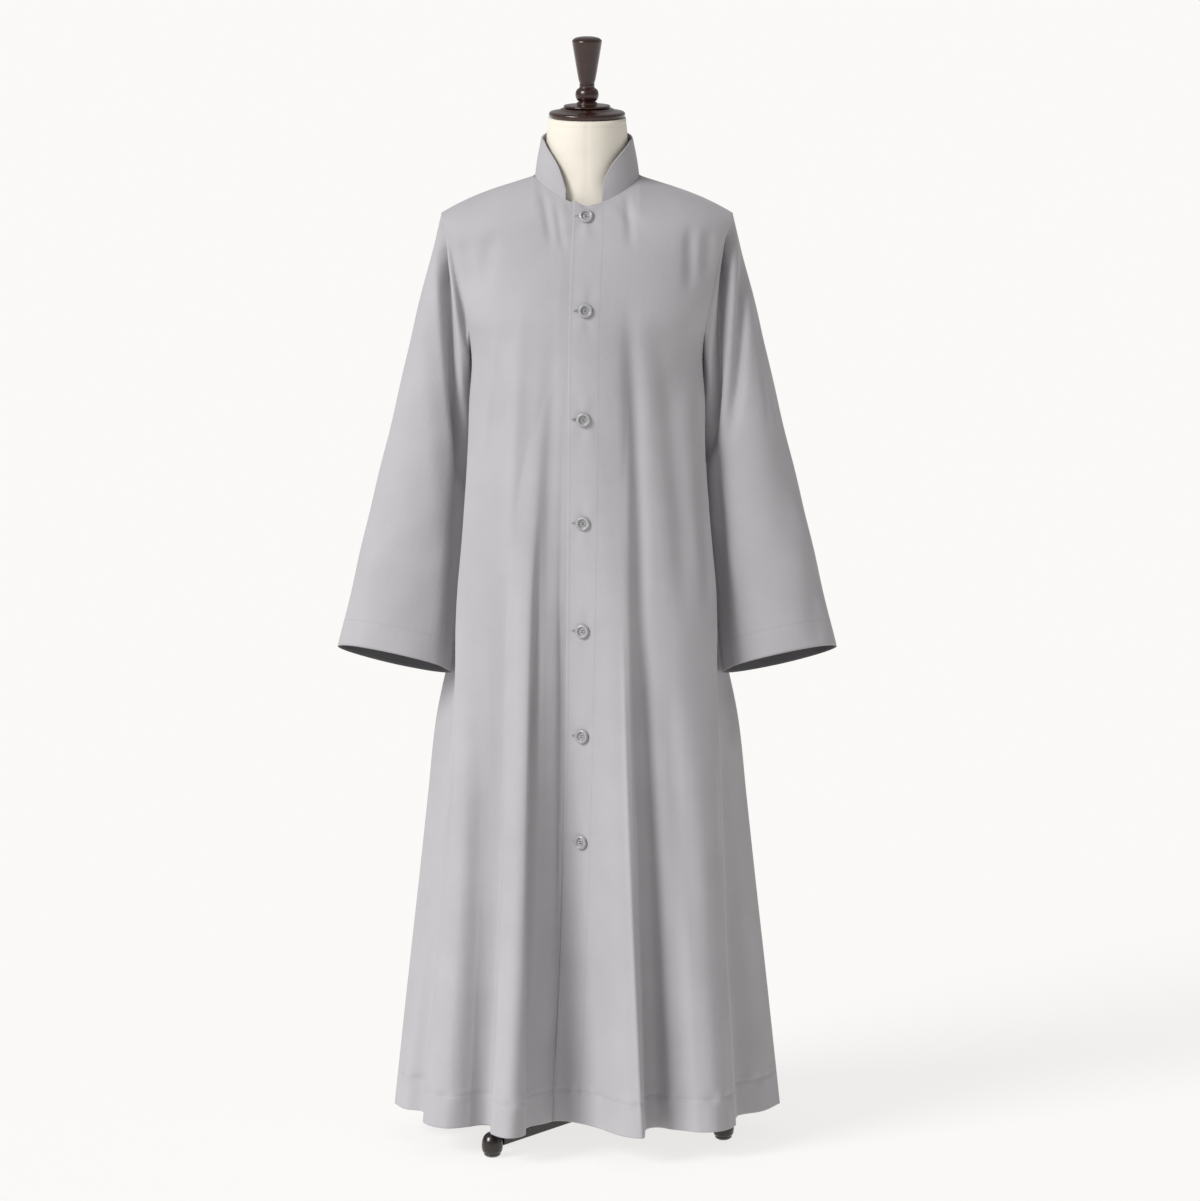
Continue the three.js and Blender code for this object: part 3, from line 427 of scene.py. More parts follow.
def mesh_of_grid(name, grid, outward, material, wall=CLOTH_WALL, closed=False, inside=None):
    """A smooth sheet from a grid of outer points, faces turned towards outward, walled inwards;
    its cut UV holds metres along the two directions of the cloth."""
    rows, columns = grid.shape[:2]
    index = np.arange(rows * columns).reshape(rows, columns)
    right = np.roll(index, -1, 1) if closed else index[:, 1:]
    left = index if closed else index[:, :-1]
    quads = np.stack([left[:-1], left[1:], right[1:], right[:-1]], -1).reshape(-1, 4)
    facing = normals_of(grid)[rows // 2, columns // 2]
    if np.dot(facing, outward(grid[rows // 2, columns // 2])) < 0:
        quads = quads[:, ::-1]
    mesh = bpy.data.meshes.new(name)
    mesh.from_pydata((grid.reshape(-1, 3) * MM).tolist(), [], quads.tolist())
    steps = np.linalg.norm(np.diff(grid, axis=1, append=grid[:, -1:]), axis=-1)
    across = np.cumsum(steps, 1) - steps - steps.sum(1, keepdims=True) / 2
    fall = np.linalg.norm(np.diff(grid, axis=0, append=grid[-1:]), axis=-1)
    down = np.cumsum(fall, 0) - fall
    cut = np.stack([across, down], -1).reshape(-1, 2) * MM
    corners = np.empty(len(mesh.loops), int)
    mesh.loops.foreach_get("vertex_index", corners)
    layer = mesh.uv_layers.new(name="cut")
    layer.data.foreach_set("uv", cut[corners].ravel())
    mesh.shade_smooth()
    mesh.materials.append(material)
    piece = add_object(name, mesh)
    solid = piece.modifiers.new("wall", "SOLIDIFY")
    solid.thickness = wall * MM
    solid.offset = -1
    # A given inside material goes on the walled inner face; the sleeves use it for painted shade.
    if inside:
        mesh.materials.append(inside)
        solid.material_offset = 1
    return piece


def away_from(x, y):
    """Direction out of a vertical axis through (x, y)."""
    return lambda point: (point - np.array([x, y, 0.0])) * np.array([1, 1, 0])


def constant(value):
    """The same u at every height."""
    return lambda z: np.full_like(z, value)


def over_edge(z):
    """The u of the over front's edge."""
    return column_at(along(FRONT_EDGES, "z", "over", z), z)


def under_edge(z):
    """The u of the under front's edge, hidden below the over front."""
    return column_at(along(FRONT_EDGES, "z", "under", z), z)


LAP_STEP, LAP_FOLD = 1.2, 1.1
CORNER_LIFT = 4.5
FRONT_COLUMNS, BACK_COLUMNS = 230, 230
right_grid = panel_grid(False, constant(-1.0), under_edge, FRONT_COLUMNS)
left_grid = panel_grid(False, over_edge, constant(1.0), FRONT_COLUMNS)
back_grid = panel_grid(True, constant(1.0), constant(-1.0), BACK_COLUMNS)
right_grid = softened(finish_cloth(right_grid, False, FRONT_CREASES, [0]), 1)
left_grid = softened(finish_cloth(left_grid, False, FRONT_CREASES, [FRONT_COLUMNS - 1]), 1)
back_grid = softened(finish_cloth(back_grid, True, BACK_CREASES, [0, BACK_COLUMNS - 1]), 1)
# The under front steps inwards where the over front lies on it.
past_edge = right_grid[..., 0] - along(FRONT_EDGES, "z", "over", right_grid[..., 2])
step_in = LAP_STEP * np.clip((past_edge + 14) / 12, 0, 1)
inwards = normals_of(right_grid)
inwards *= np.sign(inwards[DROP_ROWS // 2, -10, 1])
right_grid = right_grid + inwards * step_in[..., None]

# The over front's corner stands up a little above the neckline.
from_corner = np.hypot(left_grid[..., 0] - FRONT_EDGES["over"][0], left_grid[..., 2] - NOTCH_Z)
left_grid[..., 2] += CORNER_LIFT * np.exp(-(from_corner / 8) ** 2)


def with_turning(grid, inset):
    """The grid and a first row that turns in at the top edge, as a seam's turning does."""
    return np.concatenate([grid[:1] + np.array([0, inset, -3]), grid])


from_axis = away_from(0, 0)
front_right = mesh_of_grid("front_right_cloth", with_turning(right_grid, 4), from_axis, SUITING)
# The over front's edge is folded in against the under front.
fold_in = normals_of(left_grid)[:, :1]
fold_in *= np.sign(fold_in[..., 1:2])
folded = np.concatenate([left_grid[:, :1] + fold_in * LAP_FOLD, left_grid], 1)
front_left = mesh_of_grid("front_left_cloth", with_turning(folded, 4), from_axis, SUITING)
back_panel = mesh_of_grid("back_cloth", with_turning(back_grid, -4), from_axis, SUITING)


# Cut widths listed with each panel; nothing reads them. They are too wide: these surfaces measure
# 0.61, 0.60 and 1.05 m at the widest and 1.50 m at the longest.
for piece, node, grid, width in (
        (front_right, "front_right", right_grid, 0.74), (front_left, "front_left", left_grid, 0.74),
        (back_panel, "back", back_grid, 1.22)):
    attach(piece, "root")
    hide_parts(node)


# ---- Sleeves -----------------------------------------------------------------------------------
# Two plain set-in sleeves in the same suiting, seamed round the armholes, hanging slightly away
# from the body to open cuffs with a deep machine-stitched hem; each drags from the armpit.
CUFF_OUTER, CUFF_INNER = (380, 8, 757.5), (204, 0, 719.5)
CUFF_DEPTH, CUFF_TILT = 50, 17
ARMHOLE_EASE, SLEEVE_ROWS, CUFF_HEM = 0.3, 180, 41
SLEEVE_INNER = table(
    "z x",
    (UNDERARM_Z, 172), (1120, 172), (1046, 175), (955, 181), (870, 189), (800, 196), (719.5, 204))
# Creases of the sleeves, front (side -1) and back (side 1), in the same terms as the fronts'.
RIGHT_SLEEVE_CREASES = table(
    "x0 z0 x1 z1 bend width depth side",
    (-232, 1490, -174, 960, -3, 6.5, 30, -1), (-209, 1460, -174, 1200, -4, 5, 13, -1),
    (-181, 1230, -216, 560, 0, 5, 15, -1),
    (-262, 1360, -226, 900, 6, 15, -3, -1), (-300, 1270, -322, 880, 8, 24, 4, -1),
    (-216, 960, -232, 730, 2, 10, -2.5, -1), (-350, 900, -352, 740, 0, 14, 3, -1),
    (-228, 1420, -190, 1060, -6, 13, 17, 1), (-290, 1280, -310, 900, 6, 22, 4, 1))
LEFT_SLEEVE_CREASES = table(
    "x0 z0 x1 z1 bend width depth side",
    (224, 1500, 176, 1020, 3, 6, 36, -1), (240, 1420, 214, 1060, 6, 7, 12, -1),
    (182, 1250, 219, 560, 0, 8, 10, -1),
    (246, 1340, 280, 1060, 2, 4, 2.2, -1), (300, 1260, 318, 880, -6, 24, 4, -1),
    (214, 960, 230, 730, -2, 12, -2.5, -1), (345, 900, 350, 740, 0, 14, 3, -1),
    (226, 1420, 190, 1060, 6, 12, 17, 1), (290, 1290, 306, 900, -6, 22, 4, 1))


def sleeve_ellipse(hand, step, turn):
    """Point of a tilted ellipse whose centre and half axes run straight from armhole to cuff, less
    that its inner edge follows the body."""
    outer = np.stack([hand * (TIP_X + (CUFF_OUTER[0] - TIP_X) * step), CUFF_OUTER[1] * step,
                      TIP_Z + (CUFF_OUTER[2] - TIP_Z) * step], -1)
    inner_z = UNDERARM_Z + (CUFF_INNER[2] - UNDERARM_Z) * step
    inner = np.stack([hand * along(SLEEVE_INNER, "z", "x", inner_z), 8 - 8 * step, inner_z], -1)
    depth = np.stack([0 * step, 0 * step - CUFF_DEPTH, CUFF_TILT * step], -1)
    centre = (outer + inner) / 2
    return centre + (outer - centre) * np.cos(turn)[..., None] + depth * np.sin(turn)[..., None]


def closed_softened(grid, passes):
    """As softened, on a grid whose columns close into rings."""
    for _ in range(passes):
        grid = (np.roll(grid, 1, 1) + 2 * grid + np.roll(grid, -1, 1)) / 4
        grid[1:-1] = (grid[:-2] + 2 * grid[1:-1] + grid[2:]) / 4
    return grid


def sleeve_grid(hand, ring, creases):
    """Rings that ease, by the square of what is left of the first stretch, from the armhole into
    the ellipse, then creased; a point's turn is its share of the armhole's length."""
    gaps = np.linalg.norm(np.roll(ring, -1, 0) - ring, axis=1)
    turn = (2 * np.pi * (np.cumsum(gaps) - gaps) / gaps.sum())[None, :]
    step = np.linspace(0, 1, SLEEVE_ROWS)[:, None] ** 1.1
    step, turn = step + 0 * turn, turn + 0 * step
    ease = np.maximum(1 - step / ARMHOLE_EASE, 0)[..., None] ** 2
    grid = sleeve_ellipse(hand, step, turn) + ease * (
        ring - sleeve_ellipse(hand, 0 * turn[0], turn[0]))
    outward = normals_of(grid)
    outward *= -np.sign(outward[SLEEVE_ROWS // 2, len(ring) // 4, 1])
    depth = np.zeros(step.shape)
    for side in (-1, 1):
        facing = np.clip(-side * np.sin(turn) / 0.25, 0, 1)
        rows = creases["side"] == side
        chosen = {key: creases[key][rows] for key in creases if key != "side"}
        depth += facing * crease_depth(chosen, grid[..., 0], grid[..., 2])
    depth += 0.8 * np.sin(turn * 5 + step * 9) * np.sin(step * 23 + turn * 2)
    hem_line = np.exp(-((step - 0.935) / 0.018) ** 2)
    depth += 0.5 * hem_line * np.sin(turn * 31) * np.sin(turn * 17 + 1)
    depth *= np.clip(step / 0.03, 0, 1)
    grid = closed_softened(grid - outward * depth[..., None], 2)
    # The seam's turning goes under the body's edge.
    middle = ring.mean(0)
    tucked = ring + (middle - ring) * 0.06 - np.array([hand * 7, 0, 0])
    return np.concatenate([tucked[None], (ring * 0.7 + grid[0] * 0.3)[None], grid[1:]])


def painted_inside_shade_material():
    """Painted shade for the sleeves' inner faces: a dark grey, far darker than the suiting, that stands in
    for the shade inside the sleeves; smooth, with a fine ribbed bump and a silky lustre.
    """
    material, tree = blank_material("sleeve_inner_face_painted_shade")
    place = add_node(tree, "ShaderNodeTexCoord")
    ribs = add_node(tree, "ShaderNodeTexNoise", None, {"Scale": 420.0, "Detail": 2.0},
                    {"Vector": place.outputs["Object"]})
    tint = add_node(tree, "ShaderNodeValToRGB", None, None, {"Fac": ribs.outputs["Fac"]})
    # Dark greys that paint in the shade falling inside the sleeves.
    set_ramp(tint, (0.3, srgb("454346")), (0.7, srgb("4e4c4f")))
    bump = add_node(tree, "ShaderNodeBump", None, {"Strength": 0.15, "Distance": 0.0002},
                    {"Height": ribs.outputs["Fac"]})
    shade_surface = add_node(tree, "ShaderNodeBsdfPrincipled", None,
                      {"Roughness": 0.55, "IOR": 1.5, "Sheen Weight": 0.1},
                      {"Base Color": tint.outputs["Color"], "Normal": bump.outputs["Normal"]})
    add_node(tree, "ShaderNodeOutputMaterial", None, None, {"Surface": shade_surface.outputs["BSDF"]})
    return material


SLEEVE_SHADE_PAINT = painted_inside_shade_material()
underarm_row = int(np.searchsorted(-left_grid[:, -1, 2], -UNDERARM_Z))
right_ring = np.concatenate([right_grid[:underarm_row + 1, 0],
                             back_grid[1:underarm_row, -1][::-1]])
left_ring = np.concatenate([left_grid[:underarm_row + 1, -1], back_grid[1:underarm_row, 0][::-1]])
sleeves = {}
for name, hand, ring, creases in (("sleeve_right", -1, right_ring, RIGHT_SLEEVE_CREASES),
                                  ("sleeve_left", 1, left_ring, LEFT_SLEEVE_CREASES)):
    grid = sleeve_grid(hand, ring, creases)
    sleeves[name] = grid
    middle = grid[SLEEVE_ROWS // 2].mean(0)
    # The sleeve's inner face takes the dark painted-shade material, standing in for the shade inside it.
    sleeve = mesh_of_grid(name + "_cloth", grid, away_from(middle[0], middle[1]), SUITING,
                          closed=True, inside=SLEEVE_SHADE_PAINT)
    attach(sleeve, "root")
    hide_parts(name)

# ---- Collar ------------------------------------------------------------------------------------
# A stiffened stand collar, two plies with an edge stitch, cut down in a curve to its front ends
# and sewn to the neckline; its ends leave the throat open.
COLLAR_SIDE, COLLAR_FRONT, COLLAR_BACK, COLLAR_TOP, COLLAR_RISE = 69, 64, 67, 1535, 10
COLLAR_ROWS, COLLAR_WALL, COLLAR_EDGE_STITCH = 26, 2.2, 4.0
COLLAR_CUT = table(
    "azimuth right left",
    (15, 0.05, 0.12), (20, 0.1, 0.38), (25, 0.22, 0.5), (30, 0.38, 0.59), (36, 0.54, 0.67),
    (46, 0.7, 0.77), (60, 0.86, 0.89), (75, 1, 1), (180, 1, 1))


def collar_grid(base):
    """Straight lines from the neckline up to an oval, each as long as the cut at its azimuth."""
    turn = np.arctan2(np.abs(base[:, 0]), -base[:, 1])
    height = np.where(base[:, 0] < 0, along(COLLAR_CUT, "azimuth", "right", np.degrees(turn)),
                      along(COLLAR_CUT, "azimuth", "left", np.degrees(turn)))
    depth = np.where(base[:, 1] < 0, COLLAR_FRONT, COLLAR_BACK)
    rise = COLLAR_TOP + COLLAR_RISE * np.maximum(-np.cos(turn), 0)
    top = np.stack([np.sign(base[:, 0]) * COLLAR_SIDE * np.sin(turn), -depth * np.cos(turn), rise],
                   -1)
    share = np.linspace(0, 1, COLLAR_ROWS)[:, None, None]
    bow = np.sin(np.pi * share) * 0.9 * np.stack([np.sin(turn) * np.sign(base[:, 0]),
                                                  -np.cos(turn), 0 * turn], -1)
    return base + (top - base) * share * height[:, None] + bow


inside_right = (right_grid[0, :, 0] > -NECK_X - 1) & (right_grid[0, :, 0] < -31)
inside_left = (left_grid[0, :, 0] < NECK_X + 1) & (left_grid[0, :, 0] > 22)
inside_back = np.abs(back_grid[0, :, 0]) < NECK_X - 1
neckline = np.concatenate([right_grid[0, inside_right][::-1], back_grid[0, inside_back][::-1],
                           left_grid[0, inside_left][::-1]])
neckline = softened(neckline[:, None, :], 2, sides=False)[:, 0]
neckline[:, 2] -= 2.5
standing = collar_grid(neckline)
collar = mesh_of_grid("collar_cloth", standing, from_axis, SUITING, wall=COLLAR_WALL)
edge = collar.modifiers.new("rolled edge", "BEVEL")
edge.width, edge.segments, edge.limit_method = 0.7 * MM, 2, "ANGLE"
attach(collar, "root")
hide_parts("collar")

# ---- Topstitching ------------------------------------------------------------------------------
# Grey polyester thread, 3.8 mm from stitch to stitch: two rows down the placket, one round the skirt's hem,
# one round each cuff and one along the collar's edge.
STITCH, STITCH_GAP, THREAD = 2.7, 1.1, 0.42
PLACKET_ROWS = (4, 46)


def surface_path(grid, rows, columns):
    """Points and outward normals of a grid at fractional rows and columns, by linear blending."""
    normals = normals_of(grid)
    r0 = np.clip(rows.astype(int), 0, grid.shape[0] - 2)
    c0 = np.clip(columns.astype(int), 0, grid.shape[1] - 2)
    fr, fc = (rows - r0)[:, None], (columns - c0)[:, None]

    def blend(values):
        upper = values[r0, c0] * (1 - fc) + values[r0, c0 + 1] * fc
        lower = values[r0 + 1, c0] * (1 - fc) + values[r0 + 1, c0 + 1] * fc
        return upper * (1 - fr) + lower * fr
    return blend(grid), blend(normals)


def stitches(paths, name, centre=(0, 0)):
    """Half-sunk capsules laid end to end with gaps along each path, as one mesh."""
    points, faces = [], []
    ring = np.array([[-1, 0], [-0.6, 0.8], [0.6, 0.8], [1, 0]])
    for path, normals in paths:
        lengths = np.concatenate([[0], np.cumsum(np.linalg.norm(np.diff(path, axis=0), axis=1))])
        starts = np.arange(0, lengths[-1] - STITCH, STITCH + STITCH_GAP)
        ends = np.stack([starts, starts + STITCH * 0.2, starts + STITCH * 0.8, starts + STITCH], 1)
        place = np.stack([np.interp(ends, lengths, path[:, i]) for i in range(3)], -1)
        up = np.stack([np.interp(ends, lengths, normals[:, i]) for i in range(3)], -1)
        away = (place - np.array([*centre, 0])) * np.array([1, 1, 0])
        up *= np.sign((up * away).sum(-1, keepdims=True))
        forward = place[:, -1:] - place[:, :1]
        forward /= np.linalg.norm(forward, axis=-1, keepdims=True)
        beside = np.cross(forward, up)
        size = THREAD * np.array([0.35, 1, 1, 0.35])[None, :, None, None]
        shape = (place[:, :, None] + beside[:, :, None] * ring[None, None, :, :1] * size
                 + up[:, :, None] * (ring[None, None, :, 1:] * size * 0.9 - 0.05))
        first = sum(len(block) for block in points)
        base = first + np.arange(len(starts))[:, None] * 16
        for k in range(3):
            for j in range(3):
                a = base + 4 * k + j
                faces.append(np.concatenate([a, a + 1, a + 5, a + 4], 1))
        points.append(shape.reshape(-1, 3))
    mesh = bpy.data.meshes.new(name)
    mesh.from_pydata((np.concatenate(points) * MM).tolist(), [], np.concatenate(faces).tolist())
    mesh.shade_smooth()
    mesh.materials.append(THREAD_GREY)
    piece = add_object(name, mesh)
    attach(piece, "root")
    return piece


def thread_material(name, colour):
    """Spun polyester sewing thread in one colour, with a little lustre."""
    material, tree = blank_material(name)
    place = add_node(tree, "ShaderNodeTexCoord")
    twist = add_node(tree, "ShaderNodeTexNoise", None, {"Scale": 900.0, "Detail": 2.0},
                     {"Vector": place.outputs["Object"]})
    bump = add_node(tree, "ShaderNodeBump", None, {"Strength": 0.3, "Distance": 0.0002},
                    {"Height": twist.outputs["Fac"]})
    thread = add_node(tree, "ShaderNodeBsdfPrincipled", None,
                      {"Base Color": srgb(colour), "Roughness": 0.6, "IOR": 1.5},
                      {"Normal": bump.outputs["Normal"]})
    add_node(tree, "ShaderNodeOutputMaterial", None, None, {"Surface": thread.outputs["BSDF"]})
    return material


THREAD_GREY = thread_material("sewing_thread", "a19fa3")


def inset_from_end(grid, inset):
    """For each row, the fractional column that lies inset along the row from its first column."""
    steps = np.linalg.norm(np.diff(grid, axis=1), axis=-1)
    reached = np.concatenate([np.zeros((len(grid), 1)), np.cumsum(steps, 1)], 1)
    return np.array([np.interp(inset, row, np.arange(len(row))) for row in reached])


def up_from_hem(grid, height):
    """For each column, the fractional row that lies height along the column from its last row."""
    turned = grid[::-1].transpose(1, 0, 2)
    return grid.shape[0] - 1 - inset_from_end(turned, height)


placket = []
for inset in PLACKET_ROWS:
    rows = np.arange(2.0, len(left_grid) - 1)
    placket.append(surface_path(left_grid, rows, inset_from_end(left_grid, inset)[2:-1]))
hems = []
for grid in (right_grid, left_grid, back_grid):
    hems.append(surface_path(grid, up_from_hem(grid, HEM_DEPTH), np.arange(grid.shape[1]) * 1.0))
stitches(placket, "placket_stitching")
stitches(hems, "hem_stitching")
for name, grid in sleeves.items():
    closed = np.concatenate([grid, grid[:, :1]], 1)
    cuff = surface_path(closed, up_from_hem(closed, CUFF_HEM), np.arange(closed.shape[1]) * 1.0)
    stitches([cuff], name + "_stitching", closed[-20].mean(0)[:2])
edge_rows = up_from_hem(standing, COLLAR_EDGE_STITCH)
stitches([surface_path(standing, edge_rows, np.arange(standing.shape[1]) * 1.0)],
         "collar_stitching")

# ---- Buttons and buttonholes -------------------------------------------------------------------
# Seven cast polyester buttons with a pearly satin face, a raised rim, a groove inside it and four
# holes sewn with thread, each in a worked horizontal buttonhole 29 mm long. The thread's dark grey is
# partly its own colour and partly painted shade for the holes under it.
BUTTON_RADIUS, BUTTON_LIFT = 11, 0.4
HOLE_RADIUS, HOLE_REACH = 0.95, 1.9
HOLE_STITCHES, HOLE_SHIFT, TWIST = 90, -3, 0.32


def pearl_material():
    """Cast pearl-effect polyester: satin, with clouded bands under a clear surface."""
    material, tree = blank_material("pearl_polyester")
    place = add_node(tree, "ShaderNodeTexCoord")
    cloud = add_node(tree, "ShaderNodeTexNoise", None, {"Scale": 120.0, "Detail": 3.0,
                                                        "Distortion": 1.5},
                     {"Vector": place.outputs["Object"]})
    tint = add_node(tree, "ShaderNodeValToRGB", None, None, {"Fac": cloud.outputs["Fac"]})
    set_ramp(tint, (0.3, srgb("929193")), (0.7, srgb("a9a8aa")))
    rough = add_node(tree, "ShaderNodeMapRange", None, {"To Min": 0.18, "To Max": 0.3},
                     {"Value": cloud.outputs["Fac"]})
    pearl = add_node(tree, "ShaderNodeBsdfPrincipled", None,
                     {"IOR": 1.6, "Coat Weight": 1.0, "Coat Roughness": 0.22},
                     {"Base Color": tint.outputs["Color"], "Roughness": rough.outputs["Result"]})
    add_node(tree, "ShaderNodeOutputMaterial", None, None, {"Surface": pearl.outputs["BSDF"]})
    return material


PEARL = pearl_material()
# Painted shade: the button thread is darkened to stand in for the shade in the holes beneath it.
HOLE_SHADE_THREAD = thread_material("button_thread", "48464a")


def button_height(r):
    """Face of the button by radius: flat middle, a groove, and a broad rounded rim."""
    return np.interp(r, (0, 3.8, 4.4, 5.4, 6.2, 7.4, 8.4, 9.4, 10.4, 10.9, 11),
                     (1.7, 1.7, 0.5, 0.7, 2.9, 4.3, 4.5, 4.2, 2.8, 1.8, 1.2))


def disc_points(sides):
    """Rings of a button's face by radius and turn, pushed down in its four holes."""
    radii = np.concatenate([[0.05], np.arange(0.3, 10.9, 0.3), [BUTTON_RADIUS]])
    turn = np.linspace(0, 2 * np.pi, sides, endpoint=False)
    x, y = radii[:, None] * np.cos(turn), radii[:, None] * np.sin(turn)
    height = button_height(radii)[:, None] + 0 * x
    for k in range(4):
        angle = np.pi / 4 + k * np.pi / 2
        gap = np.hypot(x - HOLE_REACH * np.cos(angle), y - HOLE_REACH * np.sin(angle))
        height -= 1.2 * np.clip((HOLE_RADIUS - gap) / 0.3, 0, 1)
    face = np.stack([x, y, height], -1)
    below = face[-1:] * np.array([1, 1, 0]) + np.array([0, 0, 0.8])
    under = face[-1:] * np.array([0.82, 0.82, 0])
    centre = under * np.array([0.02, 0.02, 1])
    return np.concatenate([face, below, under, centre])


def button_seat(x, z):
    """Place on the front and frame there: along the cloth, up the cloth and out of it."""
    def at(px, pz):
        pz = np.array([float(pz)])
        return body_point(False, column_at(np.array([float(px)]), pz), pz)[0]
    beside = at(x + BUTTON_RADIUS, z) - at(x - BUTTON_RADIUS, z)
    above = at(x, z + BUTTON_RADIUS) - at(x, z - BUTTON_RADIUS)
    out = np.cross(beside, above)
    out /= np.linalg.norm(out)
    around = np.arange(8) * np.pi / 4
    proud = max(0, *[(at(x + BUTTON_RADIUS * np.cos(a), z + BUTTON_RADIUS * np.sin(a))
                      - at(x, z)) @ out for a in around])
    beside /= np.linalg.norm(beside)
    return at(x, z) + out * (proud + BUTTON_LIFT), np.stack([beside, np.cross(out, beside), out])


def capsule(start, end, radius):
    """Rings of a rounded bar from start to end."""
    axis = end - start
    axis = axis / np.linalg.norm(axis)
    side = np.cross(axis, [0.3, 0.5, 0.81])
    side /= np.linalg.norm(side)
    other = np.cross(axis, side)
    turn = np.linspace(0, 2 * np.pi, 10, endpoint=False)[None, :, None]
    places = np.array([0, 0.05, 0.15, 0.85, 0.95, 1])[:, None, None]
    swell = radius * np.array([0.15, 0.75, 1, 1, 0.75, 0.15])[:, None, None]
    return start + (end - start) * places + swell * (side * np.cos(turn) + other * np.sin(turn))


def join_meshes(name, grids, material):
    """Several closed-ring grids as one mesh object."""
    points, faces, first = [], [], 0
    for grid in grids:
        rows, columns = grid.shape[:2]
        index = first + np.arange(rows * columns).reshape(rows, columns)
        right = np.roll(index, -1, 1)
        faces.append(np.stack([index[:-1], right[:-1], right[1:], index[1:]], -1).reshape(-1, 4))
        points.append(grid.reshape(-1, 3))
        first += rows * columns
    mesh = bpy.data.meshes.new(name)
    mesh.from_pydata((np.concatenate(points) * MM).tolist(), [], np.concatenate(faces).tolist())
    mesh.shade_smooth()
    mesh.materials.append(material)
    return add_object(name, mesh)


holes = []
for i, (x, z) in enumerate(zip(BUTTON_PLACES["x"], BUTTON_PLACES["z"])):
    seat, axes = button_seat(x, z)
    disc = seat + disc_points(72) @ axes
    button = join_meshes(f"button_{i + 1}_pearl", [disc[::-1]], PEARL)
    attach(button, "root")
    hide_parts(f"button_{i + 1}")
    bars = []
    for across in (-1, 1):
        reach = HOLE_REACH * 0.72
        ends = np.array([[-reach, across * reach, 1.5], [reach, across * reach, 1.5]])
        bars.append(capsule(*(seat + (ends + [0, 0, 0.5]) @ axes), 0.5))
    sewn = join_meshes(f"button_{i + 1}_thread", bars, HOLE_SHADE_THREAD)
    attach(sewn, "root")
    # Each buttonhole is an oval of close stitches whose ends show on both sides of the button.
    for a in np.linspace(0, 2 * np.pi, HOLE_STITCHES, endpoint=False):
        inner = np.array([HOLE_SHIFT + 13.2 * np.cos(a), 1.1 * np.sin(a), -0.6])
        outer = np.array([HOLE_SHIFT + 14.6 * np.cos(a), 2.7 * np.sin(a), -0.6])
        holes.append(capsule(*(seat + np.stack([inner, outer]) @ axes), TWIST))
worked = join_meshes("buttonholes", holes, thread_material("buttonhole_twist", "8b898d"))
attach(worked, "root")

# ---- Dress form --------------------------------------------------------------------------------
# A limbless padded body in ecru cotton jersey with a centre seam, on a board; it carries the
# garment by the shoulders, and only the neck is seen above the collar.
FORM_LEVELS = table(
    "z side front back",
    (741.6, 150, -96, 96), (748, 160, -104, 104), (790, 168, -108, 108), (860, 163, -106, 104),
    (950, 143, -100, 93), (1040, 132, -97, 86), (1120, 143, -101, 88), (1190, 158, -105, 92),
    (1260, 168, -107, 96), (1330, 176, -100, 97), (1385, 188, -91, 94), (1412, 186, -80, 86),
    (1430, 172, -69, 76), (1442, 148, -63, 68), (1451, 116, -61, 64), (1459, 88, -60.5, 62),
    (1472, 66, -60, 61), (1500, 61.5, -60, 61), (1540, 60.8, -60.8, 60.8),
    (1566.6, 58.5, -58.5, 58.5))


def jersey_material():
    """Ecru cotton jersey stretched over padding: matt, fine knit loops 1.5 mm apart."""
    material, tree = blank_material("cotton_jersey")
    place = add_node(tree, "ShaderNodeTexCoord")
    loops = add_node(tree, "ShaderNodeTexVoronoi", {"feature": "F1"}, {"Scale": 650.0},
                     {"Vector": place.outputs["Object"]})
    soft = add_node(tree, "ShaderNodeTexNoise", None, {"Scale": 14.0, "Detail": 4.0},
                    {"Vector": place.outputs["Object"]})
    tint = add_node(tree, "ShaderNodeValToRGB", None, None, {"Fac": soft.outputs["Fac"]})
    set_ramp(tint, (0.3, srgb("dad3c6")), (0.7, srgb("e1dbcf")))
    bump = add_node(tree, "ShaderNodeBump", None, {"Strength": 0.25, "Distance": 0.0003},
                    {"Height": loops.outputs["Distance"]})
    jersey = add_node(tree, "ShaderNodeBsdfPrincipled", None,
                      {"Roughness": 0.92, "IOR": 1.5, "Sheen Weight": 0.15},
                      {"Base Color": tint.outputs["Color"], "Normal": bump.outputs["Normal"]})
    add_node(tree, "ShaderNodeOutputMaterial", None, None, {"Surface": jersey.outputs["BSDF"]})
    return material


level = np.unique(np.concatenate([np.linspace(741.6, 1566.6, 150), [1556.0, 1557.0, 1558.0]]))
turn = np.linspace(0, 2 * np.pi, 96, endpoint=False)[None, :]
side = along(FORM_LEVELS, "z", "side", level)[:, None]
depth = np.where(np.sin(turn) < 0, -along(FORM_LEVELS, "z", "front", level)[:, None],
                 along(FORM_LEVELS, "z", "back", level)[:, None])
seam = np.exp(-((turn - 1.5 * np.pi) / 0.02) ** 2) * 0.7
seam = seam + np.exp(-((level[:, None] - 1557) / 0.8) ** 2) * 0.5
body = np.stack([(side - seam) * np.cos(turn), (depth - seam) * np.sin(turn),
                 level[:, None] + 0 * turn], -1)


def end_cap(ring):
    """The ring drawn in to a fiftieth of its size at its own height, which closes that end."""
    return (ring * [0.02, 0.02, 0] + [0, 0, ring[0, 2]])[None]


body = np.concatenate([end_cap(body[0]), body, end_cap(body[-1])])
torso = join_meshes("form_torso_jersey", [body], jersey_material())
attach(torso, "root")
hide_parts("form_torso")

